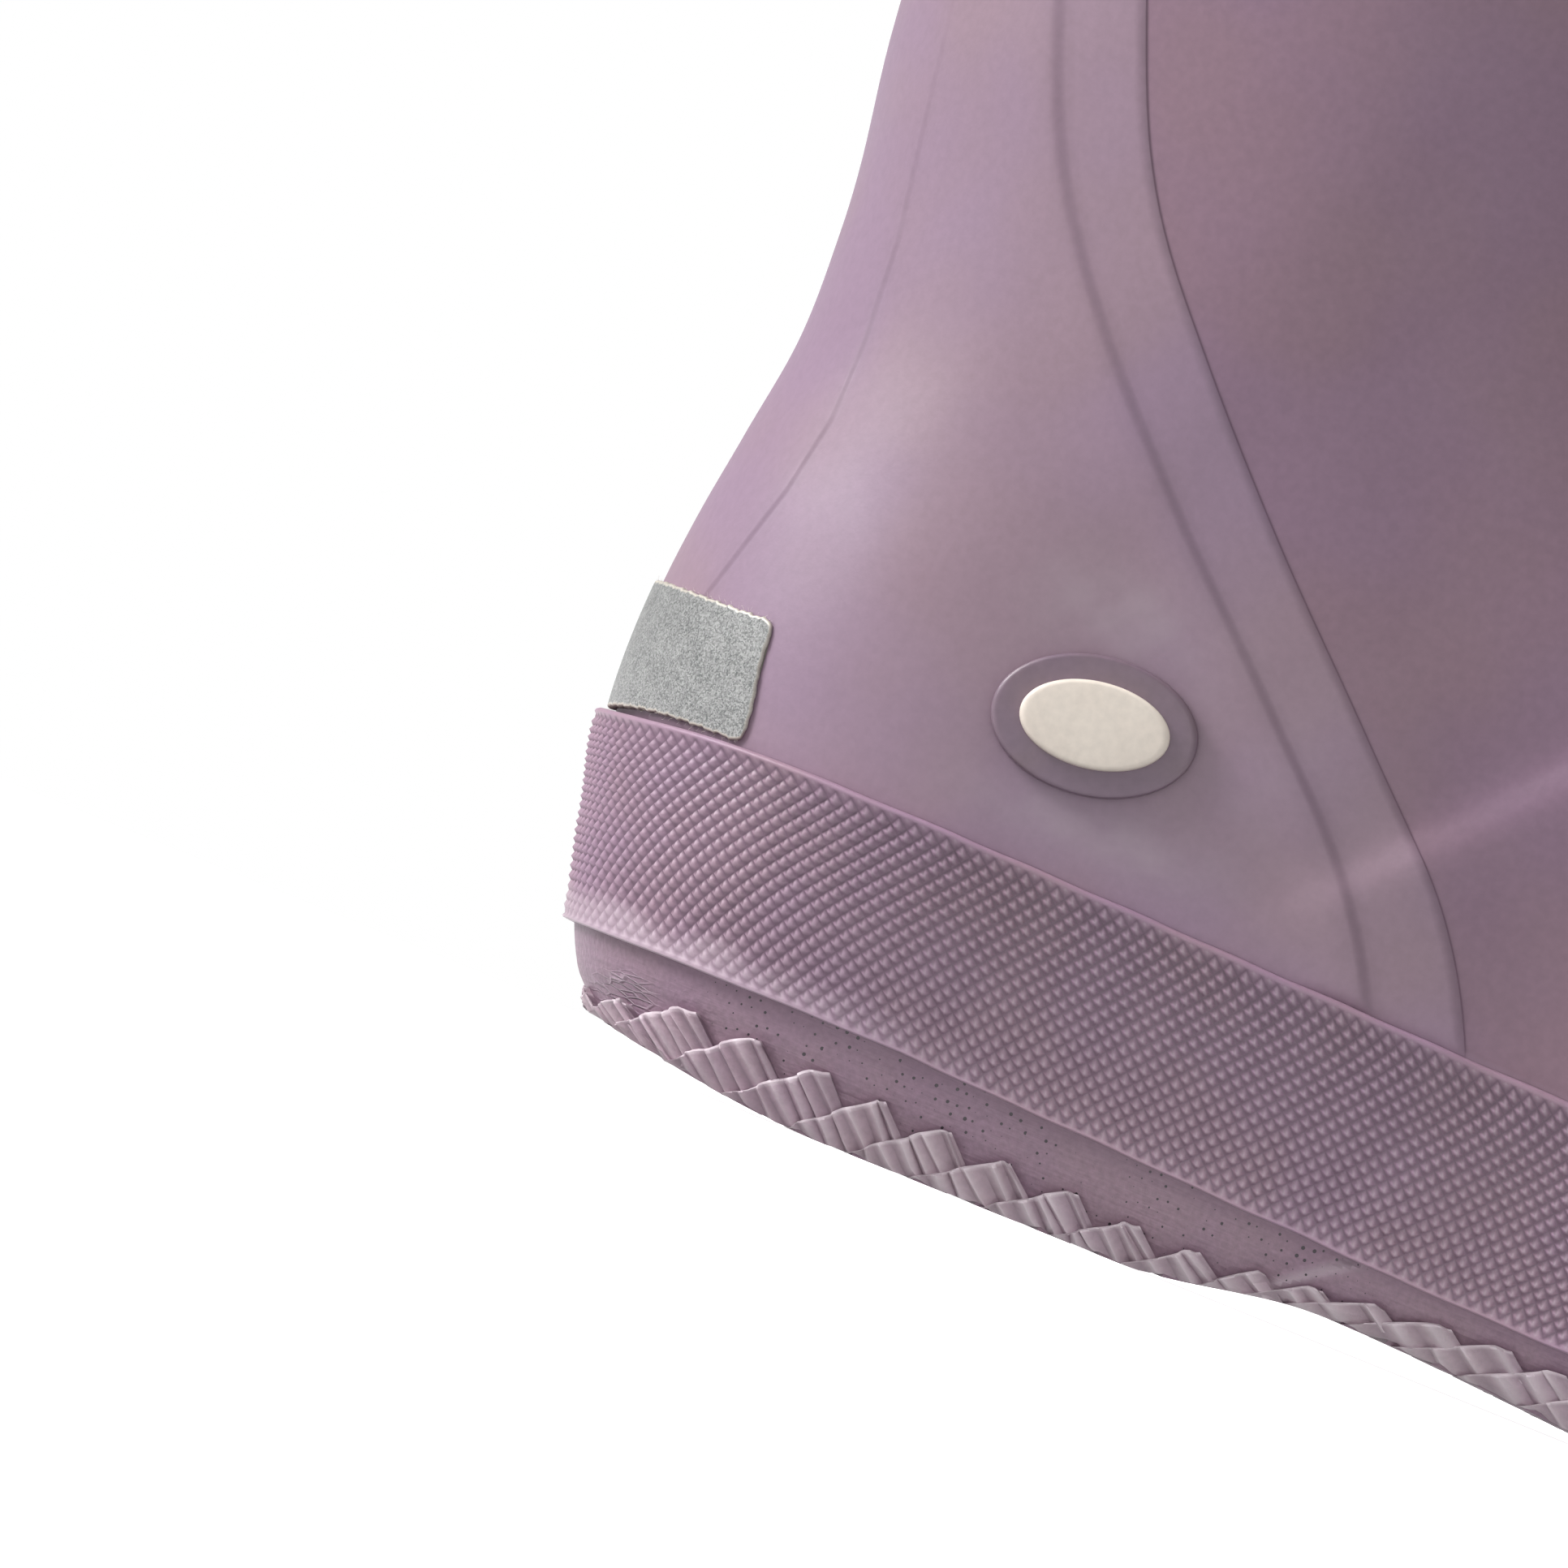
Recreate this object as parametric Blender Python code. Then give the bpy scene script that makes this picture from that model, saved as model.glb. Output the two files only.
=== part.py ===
"""Right-foot kids rubber boot: hollow upper, foxing band, treaded outsole, insole, heel reflector and badge.

The outer skin of the boot is one function of a level (the height at the heel's back line, in millimetres)
and an angle (from the back, round the outer side, to the front and home along the inner side).
Every piece is lofted from that skin. Along the boot x runs from the heel's back to the toe, y towards the
inner side of the foot and z up from the floor.
"""

import math
from typing import NamedTuple

import bmesh
import bpy
import numpy as np

MM = 0.001

# Driving sizes of a child's boot, about EU 26, in millimetres.
FOOT_LENGTH = 187.5
BALL_HALF = 36.0
COLLAR_LEVEL = 195.0
WALL = 2.0
SEAT_GAP = 0.3

# The foot's under line: heel to ball drop, and the toe's lift off the floor.
HEEL_DROP = 3.3
BALL_X = 112.0
TOE_SPRING = 6.0
SPRING_FROM = 138.0

# Levels of the seams between the pieces.
FOXING_FOOT = 10.3
SOLE_TOP = 12.3
UPPER_FOOT = SOLE_TOP + SEAT_GAP
FOXING_TOP = 27.9

# Shares of a section's length at which its half widths are given.
HEEL_AT = 0.16
WAIST_AT = 0.42
BALL_AT = 0.66


class Section(NamedTuple):
    """One cut through the boot's skin, from the back line to the front line."""

    level: float  # height at the back line
    back: float  # how far in front of the heel's rearmost line it starts
    front: float  # how far forward it ends, as a share of the foot's length
    rise: float  # how much higher its front end is
    heel: float  # half width at the heel, as a share of the ball's half width
    waist: float  # half width at the waist, as a share of the same
    ball: float  # half width at the ball, as a share of the same
    back_round: float  # share of the length in the rounded back
    front_round: float  # share of the length in the rounded front
    swing: float  # lean of the front end towards the inner side
    arch: float  # how much the inner waist is hollowed and the outer waist filled
    sag: float  # share of the foot's under line that it follows


SECTIONS = (
    Section(10.3, 5.2, 0.979, 0.0, 0.675, 0.628, 0.933, 0.17, 0.25, 5.0, 2.2, 1.00),
    Section(18.0, 2.9, 1.000, 0.0, 0.739, 0.700, 0.997, 0.17, 0.25, 5.0, 2.0, 0.90),
    Section(27.9, 1.2, 0.990, 0.5, 0.767, 0.744, 0.992, 0.18, 0.27, 5.0, 1.6, 0.75),
    Section(36.0, 0.95, 0.933, 5.2, 0.761, 0.772, 0.964, 0.18, 0.32, 4.4, 1.1, 0.55),
    Section(45.0, 1.7, 0.824, 6.8, 0.747, 0.800, 0.922, 0.20, 0.39, 3.4, 0.6, 0.35),
    Section(53.0, 2.9, 0.723, 8.8, 0.747, 0.828, 0.894, 0.24, 0.45, 2.4, 0.2, 0.15),
    Section(62.0, 4.0, 0.635, 12.2, 0.767, 0.856, 0.875, 0.30, 0.48, 1.5, 0.0, 0.00),
    Section(72.0, 3.8, 0.568, 16.2, 0.814, 0.894, 0.883, 0.37, 0.50, 0.8, 0.0, 0.00),
    Section(90.0, 1.4, 0.527, 17.2, 0.911, 0.961, 0.933, 0.46, 0.50, 0.2, 0.0, 0.00),
    Section(130.0, -2.7, 0.510, 11.5, 1.028, 1.056, 1.028, 0.50, 0.50, 0.0, 0.0, 0.00),
    Section(COLLAR_LEVEL, -5.5, 0.507, 1.5, 1.094, 1.111, 1.094, 0.50, 0.50, 0.0, 0.0, 0.00),
)


class StripRow(NamedTuple):
    """Where the raised side strip runs at one height, in side view."""

    height: float
    rear: float  # its soft rear edge
    front: float  # its cut front edge


STRIP = (
    StripRow(8.0, 71.5, 79.5),
    StripRow(27.0, 67.7, 76.3),
    StripRow(36.4, 61.5, 70.5),
    StripRow(46.9, 50.9, 59.9),
    StripRow(59.5, 37.5, 46.7),
    StripRow(70.9, 26.9, 35.9),
    StripRow(79.7, 20.4, 28.6),
    StripRow(97.1, 12.9, 20.1),
    StripRow(118.0, 8.0, 14.9),
    StripRow(150.0, 5.4, 12.2),
    StripRow(200.0, 3.6, 10.4),
)
STRIP_STEP = 0.6
STRIP_SOFT = 2.2
STRIP_CUT = 0.3
STRIP_END = 0.5

# Columns of the upper between its back, the strip and its front, on each side.
BACK_COLUMNS = 10
FRONT_COLUMNS = 18
CROWDING = 0.07  # how far the columns crowd towards the back and the toe
FOXING_ROWS = 3
FOOT_ROWS = 10
ANKLE_LEVEL = 72.0
SHAFT_ROWS = 8
INNER_ROW_STEP = 2

# Plain band at the collar.
COLLAR_BAND = 6.0
COLLAR_STEP = 0.7
COLLAR_ROUND = 0.8


class FoxingRow(NamedTuple):
    """One edge of the foxing band's cross section."""

    level: float
    offset: float  # how far its outer face stands off the skin


FOXING_PROFILE = (
    FoxingRow(FOXING_FOOT, 1.55),
    FoxingRow(FOXING_FOOT + 1.0, 1.70),
    FoxingRow(FOXING_FOOT + 2.6, 1.45),
    FoxingRow(19.0, 1.30),
    FoxingRow(FOXING_TOP - 0.5, 1.05),
    FoxingRow(FOXING_TOP, 0.75),
)
FOXING_COLUMNS = 86

# Outsole: the underside's bevel at the heel and its arch, then its toothed edge.
HEEL_BEVEL = 5.6
HEEL_BEVEL_END = 31.0
ARCH_RISE = 2.2
ARCH_FROM = 57.0
ARCH_TOP = 74.0
ARCH_TO = 118.0
EDGE_TAPER = 1.2
EDGE_CHAMFER = 3.0
TOOTH_PEAK_AT = 0.58
TOOTH_LEDGE = 0.35


class EdgeRow(NamedTuple):
    """The toothed edge at one place along the sole."""

    x: float
    peak: float  # height of a tooth's front corner above the underside
    tooth: float  # drop from that corner to the next tooth
    pitch: float  # length of a tooth along the edge


EDGE = (
    EdgeRow(0.0, 4.6, 2.2, 6.6),
    EdgeRow(14.0, 5.5, 2.5, 6.9),
    EdgeRow(24.0, 5.7, 2.5, 6.6),
    EdgeRow(33.0, 5.3, 2.4, 5.3),
    EdgeRow(45.0, 4.2, 2.0, 5.2),
    EdgeRow(60.0, 2.9, 1.8, 5.3),
    EdgeRow(69.0, 2.0, 1.5, 5.3),
    EdgeRow(76.0, 2.8, 1.2, 5.3),
    EdgeRow(86.0, 4.1, 1.5, 5.3),
    EdgeRow(140.0, 4.1, 1.5, 5.3),
    EdgeRow(188.0, 3.6, 1.4, 5.3),
)


class Tread(NamedTuple):
    """A run of grooves across the sole."""

    start: float  # rear wall of its first groove
    count: int
    pitch: float
    width: float
    depth: float
    end_depth: float  # depth where a groove runs out at the sole's edge


TREADS = (
    Tread(13.0, 9, 5.5, 2.9, 2.6, 1.2),
    Tread(73.0, 25, 4.06, 1.9, 2.2, 1.0),
)
PLEAT_STEP = 12.0
PLEAT_DEPTH = 0.9
GROOVE_LEAN = 0.10
GROOVE_SLOPE = 0.3
RUN_OUT = 4.0

INSOLE_THICK = 3.0
INSOLE_CLEAR = 0.8
INSOLE_COLUMNS = 64

# Heel reflector: a fabric patch round the back.
REFLECTOR_FOOT = 28.4
REFLECTOR_TOP = 39.2
REFLECTOR_HALF = 22.5
REFLECTOR_CORNER = 1.5
REFLECTOR_THICK = 0.6
REFLECTOR_ROWS = 4
REFLECTOR_COLUMNS = 14

# Badge on the outer side: an oval plate with an oval inlay.
BADGE_X = 38.5
BADGE_Z = 40.0
BADGE_TILT = math.radians(9.0)
BADGE_POINTS = 28


class Oval(NamedTuple):
    """An oval piece on the skin, by half sizes and the offsets of its two faces."""

    half_long: float
    half_tall: float
    under: float
    over: float
    edge: float  # rounding of the upper rim


PLATE = Oval(8.6, 5.8, SEAT_GAP, 1.2, 0.35)
INLAY = Oval(6.3, 3.6, 1.2 + SEAT_GAP, 2.0, 0.25)

LEVELS = np.array([row.level for row in SECTIONS])
STRIP_HEIGHTS = np.array([row.height for row in STRIP])
EDGE_X = np.array([row.x for row in EDGE])


def blend(keys, rows, at):
    """Smooth curve through a table's rows: cubic pieces that share the slopes between neighbouring rows.

    Args:
        keys: rising values, one for each row.
        rows: the rows, as numbers or as arrays of columns.
        at: the value, or an array of values, to read the table at.

    Returns:
        The row, or rows, at that value.
    """
    rows = np.asarray(rows, dtype=float)
    at = np.clip(np.asarray(at, dtype=float), keys[0], keys[-1])
    slopes = np.gradient(rows, keys, axis=0)
    piece = np.clip(np.searchsorted(keys, at) - 1, 0, len(keys) - 2)
    span = keys[piece + 1] - keys[piece]
    u = (at - keys[piece]) / span
    start, end = rows[piece], rows[piece + 1]
    leave, arrive = slopes[piece], slopes[piece + 1]
    if rows.ndim > 1 and u.ndim:
        u, span = u[:, None], span[:, None]
    return (
        start * (2 * u**3 - 3 * u**2 + 1)
        + end * (3 * u**2 - 2 * u**3)
        + span * leave * (u**3 - 2 * u**2 + u)
        + span * arrive * (u**3 - u**2)
    )


def ease(share):
    """Smooth step from 0 to 1 over shares 0 to 1."""
    share = np.clip(share, 0.0, 1.0)
    return share * share * (3 - 2 * share)


def under_line(x):
    """Height of the foot's under line above its height at the heel."""
    drop = HEEL_DROP * (1 - np.cos(math.pi * np.clip(x / BALL_X, 0, 1))) / 2
    spring = TOE_SPRING * np.clip((x - SPRING_FROM) / (FOOT_LENGTH - SPRING_FROM), 0, 1) ** 2
    return spring - drop


def skin(level, angle):
    """Points of the boot's outer skin, one row for each angle."""
    cut = Section(*blend(LEVELS, SECTIONS, level))
    angle = np.asarray(angle, dtype=float)
    share = (1 - np.cos(angle)) / 2
    side = np.where(np.sin(angle) >= 0, -1.0, 1.0)
    x = cut.back + share * (cut.front * FOOT_LENGTH - cut.back)
    heel = cut.heel * BALL_HALF
    waist = cut.waist * BALL_HALF - side * cut.arch
    ball = cut.ball * BALL_HALF
    to_waist = ease((share - HEEL_AT) / (WAIST_AT - HEEL_AT))
    to_ball = ease((share - WAIST_AT) / (BALL_AT - WAIST_AT))
    half = heel + (waist - heel) * to_waist + (ball - waist) * to_ball
    back = np.clip(1 - share / cut.back_round, 0, 1)
    front = np.clip((share - 1 + cut.front_round) / cut.front_round, 0, 1)
    half = half * np.sqrt(1 - back**2) * np.sqrt(1 - front**2)
    y = side * half + cut.swing * ease((share - 0.3) / 0.7)
    z = cut.level + cut.rise * share + cut.sag * under_line(x)
    return np.stack([x, y, z], axis=-1)


def skin_normals(level, angle):
    """Outward unit normals of the skin, by small differences."""
    angle = np.asarray(angle, dtype=float)
    turn = 0.01
    climb = 0.5
    along = skin(level, angle + turn) - skin(level, angle - turn)
    up = skin(level + climb, angle) - skin(level - climb, angle)
    normals = np.cross(along, up)
    return normals / np.linalg.norm(normals, axis=-1, keepdims=True)


def offset_skin(level, angle, distance):
    """Points at a distance outside the skin, or inside it where the distance is negative."""
    distance = np.asarray(distance, dtype=float)
    return skin(level, angle) + distance[..., None] * skin_normals(level, angle)


def arc_lengths(points):
    """Running length along a row of points."""
    steps = np.linalg.norm(np.diff(points, axis=0), axis=1)
    return np.concatenate([[0.0], np.cumsum(steps)])


def even_angles(level, count):
    """Angles that space a whole turn of the skin evenly by length."""
    fine = np.linspace(0, 2 * math.pi, 1441)
    lengths = arc_lengths(skin(level, fine))
    wanted = np.arange(count) * lengths[-1] / count
    return np.interp(wanted, lengths, fine)


def half_angles(level, inner_side):
    """Angles of the upper's columns from back to front on one side, and their steps off the skin."""
    fine = np.linspace(0, math.pi, 721)
    points = skin(level, -fine if inner_side else fine)
    lengths = arc_lengths(points)
    edges = blend(STRIP_HEIGHTS, [row[1:] for row in STRIP], points[:, 2])
    rear = np.interp(0, points[:, 0] - edges[:, 0], lengths)
    front = np.interp(0, points[:, 0] - edges[:, 1], lengths)
    back = np.linspace(0, 1, BACK_COLUMNS + 1)
    ahead = np.linspace(0, 1, FRONT_COLUMNS + 1)
    stops = np.concatenate([
        (rear - STRIP_SOFT / 2) * (back - CROWDING * np.sin(math.pi * back)),
        [rear, rear + STRIP_SOFT / 2, (rear + front) / 2, front],
        front + STRIP_CUT + (lengths[-1] - front - STRIP_CUT) * (ahead + CROWDING * np.sin(math.pi * ahead)),
    ])
    steps = np.zeros(len(stops))
    steps[BACK_COLUMNS + 1] = STRIP_STEP / 2
    steps[BACK_COLUMNS + 2:BACK_COLUMNS + 5] = STRIP_STEP
    return np.interp(stops, lengths, fine), steps


def upper_columns(level):
    """Angles and steps of one whole ring of the upper, outer side first."""
    outer, outer_steps = half_angles(level, False)
    inner, inner_steps = half_angles(level, True)
    angles = np.concatenate([outer, 2 * math.pi - inner[-2:0:-1]])
    return angles, np.concatenate([outer_steps, inner_steps[-2:0:-1]])


def loft(name, rings, loop=False):
    """Mesh through rings of points: closed into a tube that meets itself, or capped across at both ends."""
    work = bmesh.new()
    rows = [[work.verts.new(point * MM) for point in ring] for ring in rings]
    count = len(rows[0])
    pairs = list(zip(rows, rows[1:]))
    if loop:
        pairs.append((rows[-1], rows[0]))
    for low, high in pairs:
        for i in range(count):
            j = (i + 1) % count
            work.faces.new((low[i], low[j], high[j], high[i]))
    if not loop:
        for ring in (rows[0], rows[-1]):
            for i in range(count // 2):
                rung = (ring[i], ring[i + 1], ring[-i - 1], ring[-i])
                work.faces.new(tuple(dict.fromkeys(rung)))
    bmesh.ops.recalc_face_normals(work, faces=work.faces)
    mesh = bpy.data.meshes.new(name)
    work.to_mesh(mesh)
    work.free()
    mesh.shade_smooth()
    return mesh


def add_object(name, mesh, collection, material=None):
    """Object of a mesh in a collection, with its material."""
    item = bpy.data.objects.new(name, mesh)
    collection.objects.link(item)
    if material:
        mesh.materials.append(material)
    return item


def surface_material(name, colour, roughness):
    """Principled material of one colour, given in linear light."""
    material = bpy.data.materials.new(name)
    material.use_nodes = True
    shader = material.node_tree.nodes["Principled BSDF"]
    shader.inputs["Base Color"].default_value = (*colour, 1.0)
    shader.inputs["Roughness"].default_value = roughness
    return material


def upper_rings():
    """Rings of the upper: up its outer face, over the collar and down its inner face."""
    collar_foot = COLLAR_LEVEL - COLLAR_BAND
    levels = np.concatenate([
        np.linspace(UPPER_FOOT, FOXING_TOP, FOXING_ROWS + 1),
        np.linspace(FOXING_TOP + STRIP_END, ANKLE_LEVEL, FOOT_ROWS, endpoint=False),
        ANKLE_LEVEL + (collar_foot - ANKLE_LEVEL) * np.linspace(0, 1, SHAFT_ROWS + 1) ** 1.5,
    ])
    collar = (
        (collar_foot + COLLAR_ROUND, COLLAR_STEP),
        (COLLAR_LEVEL - COLLAR_ROUND, COLLAR_STEP),
        (COLLAR_LEVEL, COLLAR_STEP - COLLAR_ROUND),
    )
    inner = list(levels[::-INNER_ROW_STEP])
    if inner[-1] > UPPER_FOOT:
        inner.append(UPPER_FOOT)
    rings = []
    for level in levels:
        angles, steps = upper_columns(level)
        shown = 1.0 if level > FOXING_TOP else 0.0
        rings.append(offset_skin(level, angles, steps * shown))
    for level, step in collar:
        angles, _ = upper_columns(level)
        rings.append(offset_skin(level, angles, np.full(len(angles), step)))
    for level in [COLLAR_LEVEL, COLLAR_LEVEL - COLLAR_ROUND] + inner:
        angles, _ = upper_columns(level)
        depth = COLLAR_ROUND if level == COLLAR_LEVEL else 0.0
        rings.append(offset_skin(level, angles, np.full(len(angles), depth - WALL)))
    return rings


def foxing_rings():
    """Rings of the foxing band: up its outer face and down its inner face, a seat's gap off the skin."""
    rings = []
    for row in FOXING_PROFILE:
        angles = even_angles(row.level, FOXING_COLUMNS)
        rings.append(offset_skin(row.level, angles, np.full(FOXING_COLUMNS, row.offset)))
    for level in [*np.linspace(FOXING_TOP, UPPER_FOOT, FOXING_ROWS + 1), FOXING_FOOT]:
        angles = even_angles(level, FOXING_COLUMNS)
        rings.append(offset_skin(level, angles, np.full(FOXING_COLUMNS, SEAT_GAP)))
    return rings


def sole_bottom(x):
    """Height of the sole's underside above the floor: heel bevel, flat, arch, flat and toe spring."""
    bevel = HEEL_BEVEL * np.clip(1 - x / HEEL_BEVEL_END, 0, 1) ** 1.8
    arch = ARCH_RISE * ease((x - ARCH_FROM) / (ARCH_TOP - ARCH_FROM))
    arch = arch * ease((ARCH_TO - x) / (ARCH_TO - ARCH_TOP))
    spring = TOE_SPRING * np.clip((x - SPRING_FROM) / (FOOT_LENGTH - SPRING_FROM), 0, 1) ** 2
    return bevel + arch + spring


def inset_outline(outline, distance):
    """A ring moved inwards in plan by a distance."""
    ahead = np.roll(outline, -1, axis=0)[:, :2] - np.roll(outline, 1, axis=0)[:, :2]
    ahead /= np.linalg.norm(ahead, axis=1, keepdims=True)
    moved = outline.copy()
    moved[:, 0] -= distance * ahead[:, 1]
    moved[:, 1] += distance * ahead[:, 0]
    return moved


def tooth_angles(level, inner_side):
    """Angles of the sole's columns from back to front on one side: the foot and the peak of every tooth."""
    fine = np.linspace(0, math.pi, 721)
    path = skin(level, -fine if inner_side else fine)
    pitches = blend(EDGE_X, [row.pitch for row in EDGE], path[:, 0])
    counts = np.concatenate([[0.0], np.cumsum(np.diff(arc_lengths(path)) / pitches[1:])])
    teeth = round(counts[-1])
    foot = np.arange(teeth)
    places = np.sort(np.concatenate([foot, foot + TOOTH_PEAK_AT, [teeth]]))
    return np.interp(places * counts[-1] / teeth, counts, fine)


def sole_rings():
    """Rings of the sole before its grooves: top edge, foxing line, toothed line, ledge and ground line."""
    outer = tooth_angles(FOXING_FOOT, False)
    inner = tooth_angles(FOXING_FOOT, True)
    angles = np.concatenate([outer, 2 * math.pi - inner[-2:0:-1]])
    peaks = np.concatenate([np.arange(len(outer)) % 2, (np.arange(len(inner)) % 2)[-2:0:-1]])
    edge = skin(FOXING_FOOT, angles)
    line = inset_outline(edge, EDGE_TAPER)
    ledge = inset_outline(edge, EDGE_TAPER - TOOTH_LEDGE)
    ground = inset_outline(edge, EDGE_TAPER + EDGE_CHAMFER)
    ground[:, 2] = sole_bottom(ground[:, 0])
    peak, tooth, _ = blend(EDGE_X, [row[1:] for row in EDGE], ground[:, 0]).T
    line[:, 2] = ground[:, 2] + peak - tooth * (1 - peaks)
    ledge[:, 2] = line[:, 2] - TOOTH_LEDGE / 2
    return [skin(SOLE_TOP, angles), edge, line, ledge, ground]


def groove_rings(tread, index, ground):
    """Rings of one groove cutter, pleated across the sole and shallower where it runs out at the edges."""
    start = tread.start + index * tread.pitch
    half = len(ground) // 2
    outer, inner = ground[:half], ground[half:][::-1]
    low = np.interp(start, outer[:, 0], outer[:, 1])
    high = np.interp(start, inner[:, 0], inner[:, 1])
    stations = np.arange(round((high - low) / PLEAT_STEP) + 1) / round((high - low) / PLEAT_STEP)
    across = np.concatenate([[low - RUN_OUT], low + (high - low) * stations, [high + RUN_OUT]])
    base = float(sole_bottom(start + tread.width / 2))
    rings = []
    for step, y in enumerate(across):
        at_edge = step < 2 or step > len(across) - 3
        top = base + (tread.end_depth if at_edge else tread.depth)
        rear = start - PLEAT_DEPTH * (step % 2) - GROOVE_LEAN * y
        rings.append(np.array([
            (rear, y, base - 3.0),
            (rear + GROOVE_SLOPE, y, top),
            (rear + tread.width - GROOVE_SLOPE, y, top),
            (rear + tread.width, y, base - 3.0),
        ]))
    return rings


def insole_rings():
    """Rings of the insole inside the upper's wall, on the sole."""
    rings = []
    for level in (UPPER_FOOT, UPPER_FOOT + INSOLE_THICK):
        angles = even_angles(level, INSOLE_COLUMNS)
        rings.append(offset_skin(level, angles, np.full(INSOLE_COLUMNS, -WALL - INSOLE_CLEAR)))
    return rings


def place_on_skin(x, z):
    """Level and angle of the outer side's skin at one place in side view."""
    level = z
    for _ in range(30):
        cut = Section(*blend(LEVELS, SECTIONS, level))
        share = (x - cut.back) / (cut.front * FOOT_LENGTH - cut.back)
        angle = math.acos(1 - 2 * share)
        level += 0.8 * (z - float(skin(level, angle)[2]))
    return level, angle


def oval_rings(oval):
    """Rings of an oval piece on the skin: out over its under face and back in over its upper one."""
    turns = np.arange(BADGE_POINTS) * 2 * math.pi / BADGE_POINTS
    rim = 1 - oval.edge / oval.half_tall
    path = (
        (0.45, oval.under),
        (1.0, oval.under),
        (1.0, oval.over - oval.edge),
        (rim, oval.over),
        (0.45, oval.over),
    )
    rings = []
    for share, distance in path:
        ring = []
        for turn in turns:
            along = share * oval.half_long * math.cos(turn)
            rise = share * oval.half_tall * math.sin(turn)
            x = BADGE_X + along * math.cos(BADGE_TILT) - rise * math.sin(BADGE_TILT)
            z = BADGE_Z + along * math.sin(BADGE_TILT) + rise * math.cos(BADGE_TILT)
            level, angle = place_on_skin(x, z)
            ring.append(offset_skin(level, angle, distance))
        rings.append(np.array(ring))
    return rings


def reflector_rings():
    """Rings of the reflector, one for each column across the heel, round its cross section."""
    fine = np.linspace(-1.2, 1.2, 481)
    rings = []
    for reach in np.linspace(-REFLECTOR_HALF, REFLECTOR_HALF, REFLECTOR_COLUMNS + 1):
        spare = max(0.0, abs(reach) - REFLECTOR_HALF + REFLECTOR_CORNER)
        cut = REFLECTOR_CORNER - math.sqrt(REFLECTOR_CORNER**2 - spare**2)
        levels = np.linspace(REFLECTOR_FOOT + cut, REFLECTOR_TOP - cut, REFLECTOR_ROWS + 1)
        faces = {}
        for distance in (SEAT_GAP, SEAT_GAP + REFLECTOR_THICK):
            column = []
            for level in levels:
                lengths = arc_lengths(skin(level, fine))
                middle = np.interp(0.0, fine, lengths)
                angle = np.interp(middle + reach, lengths, fine)
                column.append(offset_skin(level, angle, distance))
            faces[distance] = column
        under, over = faces.values()
        rings.append(np.array(under + over[::-1]))
    return rings


def cut_grooves(sole, cutter):
    """Take a tread's grooves out of the sole with an exact boolean."""
    cut = sole.modifiers.new(cutter.name, "BOOLEAN")
    cut.operation = "DIFFERENCE"
    cut.solver = "EXACT"
    cut.object = cutter


def groove_cutter(name, tread, ground, middle, collection):
    """One object with every groove of a tread."""
    work = bmesh.new()
    for index in range(tread.count):
        mesh = loft(name, centred(groove_rings(tread, index, ground), middle))
        work.from_mesh(mesh)
        bpy.data.meshes.remove(mesh)
    mesh = bpy.data.meshes.new(name)
    work.to_mesh(mesh)
    work.free()
    cutter = add_object(name, mesh, collection)
    cutter.hide_render = True
    cutter.display_type = "WIRE"
    return cutter


def centred(rings, middle):
    """Rings moved so that the boot's box stands centred on the origin."""
    return [ring - middle for ring in rings]


def main():
    """Clear the scene and build the boot."""
    for item in list(bpy.data.objects):
        bpy.data.objects.remove(item)
    boot = bpy.data.collections.new("kids_rubber_boot")
    cutters = bpy.data.collections.new("cutters")
    for collection in (boot, cutters):
        bpy.context.scene.collection.children.link(collection)

    mauve = surface_material("mauve_rubber", (0.30, 0.21, 0.27), 0.5)
    band = surface_material("knurled_rubber", (0.26, 0.18, 0.23), 0.6)
    tread = surface_material("tread_rubber", (0.21, 0.15, 0.18), 0.6)
    textile = surface_material("insole_textile", (0.45, 0.41, 0.38), 0.9)
    fabric = surface_material("reflective_fabric", (0.40, 0.40, 0.40), 0.45)
    plate = surface_material("badge_rubber", (0.18, 0.13, 0.15), 0.5)
    cream = surface_material("cream_rubber", (0.79, 0.72, 0.65), 0.5)

    upper = upper_rings()
    foxing = foxing_rings()
    box = np.concatenate(upper + foxing)
    middle = (box.min(axis=0) + box.max(axis=0)) / 2 * np.array([1, 1, 0])

    add_object("upper", loft("upper", centred(upper, middle), loop=True), boot, mauve)
    add_object("foxing", loft("foxing", centred(foxing, middle), loop=True), boot, band)
    add_object("insole", loft("insole", centred(insole_rings(), middle)), boot, textile)
    add_object("heel_reflector", loft("heel_reflector", centred(reflector_rings(), middle)), boot, fabric)
    add_object("badge_plate", loft("badge_plate", centred(oval_rings(PLATE), middle)), boot, plate)
    add_object("badge_inlay", loft("badge_inlay", centred(oval_rings(INLAY), middle)), boot, cream)

    rings = sole_rings()
    sole = add_object("outsole", loft("outsole", centred(rings, middle)), boot, tread)
    for name, run in zip(("heel_grooves", "ball_grooves"), TREADS):
        cut_grooves(sole, groove_cutter(name, run, rings[-1], middle, cutters))


main()
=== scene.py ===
"""Looks of a child's right rubber boot: satin upper, knurled band, toothed sole, reflector and oval badge.

The boot's outer skin is one function of a level (the height at the heel's back line) and an angle (from the
back, round the outer side, to the front and home along the inner side). Every piece is laid out on that skin,
in millimetres from the heel's rearmost line on the floor, and placed in the frame in metres.
"""

import logging
import math
from dataclasses import dataclass
from enum import Enum, IntEnum
from typing import Any, NamedTuple

import bpy
import numpy as np
from mathutils import Matrix, Vector


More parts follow.
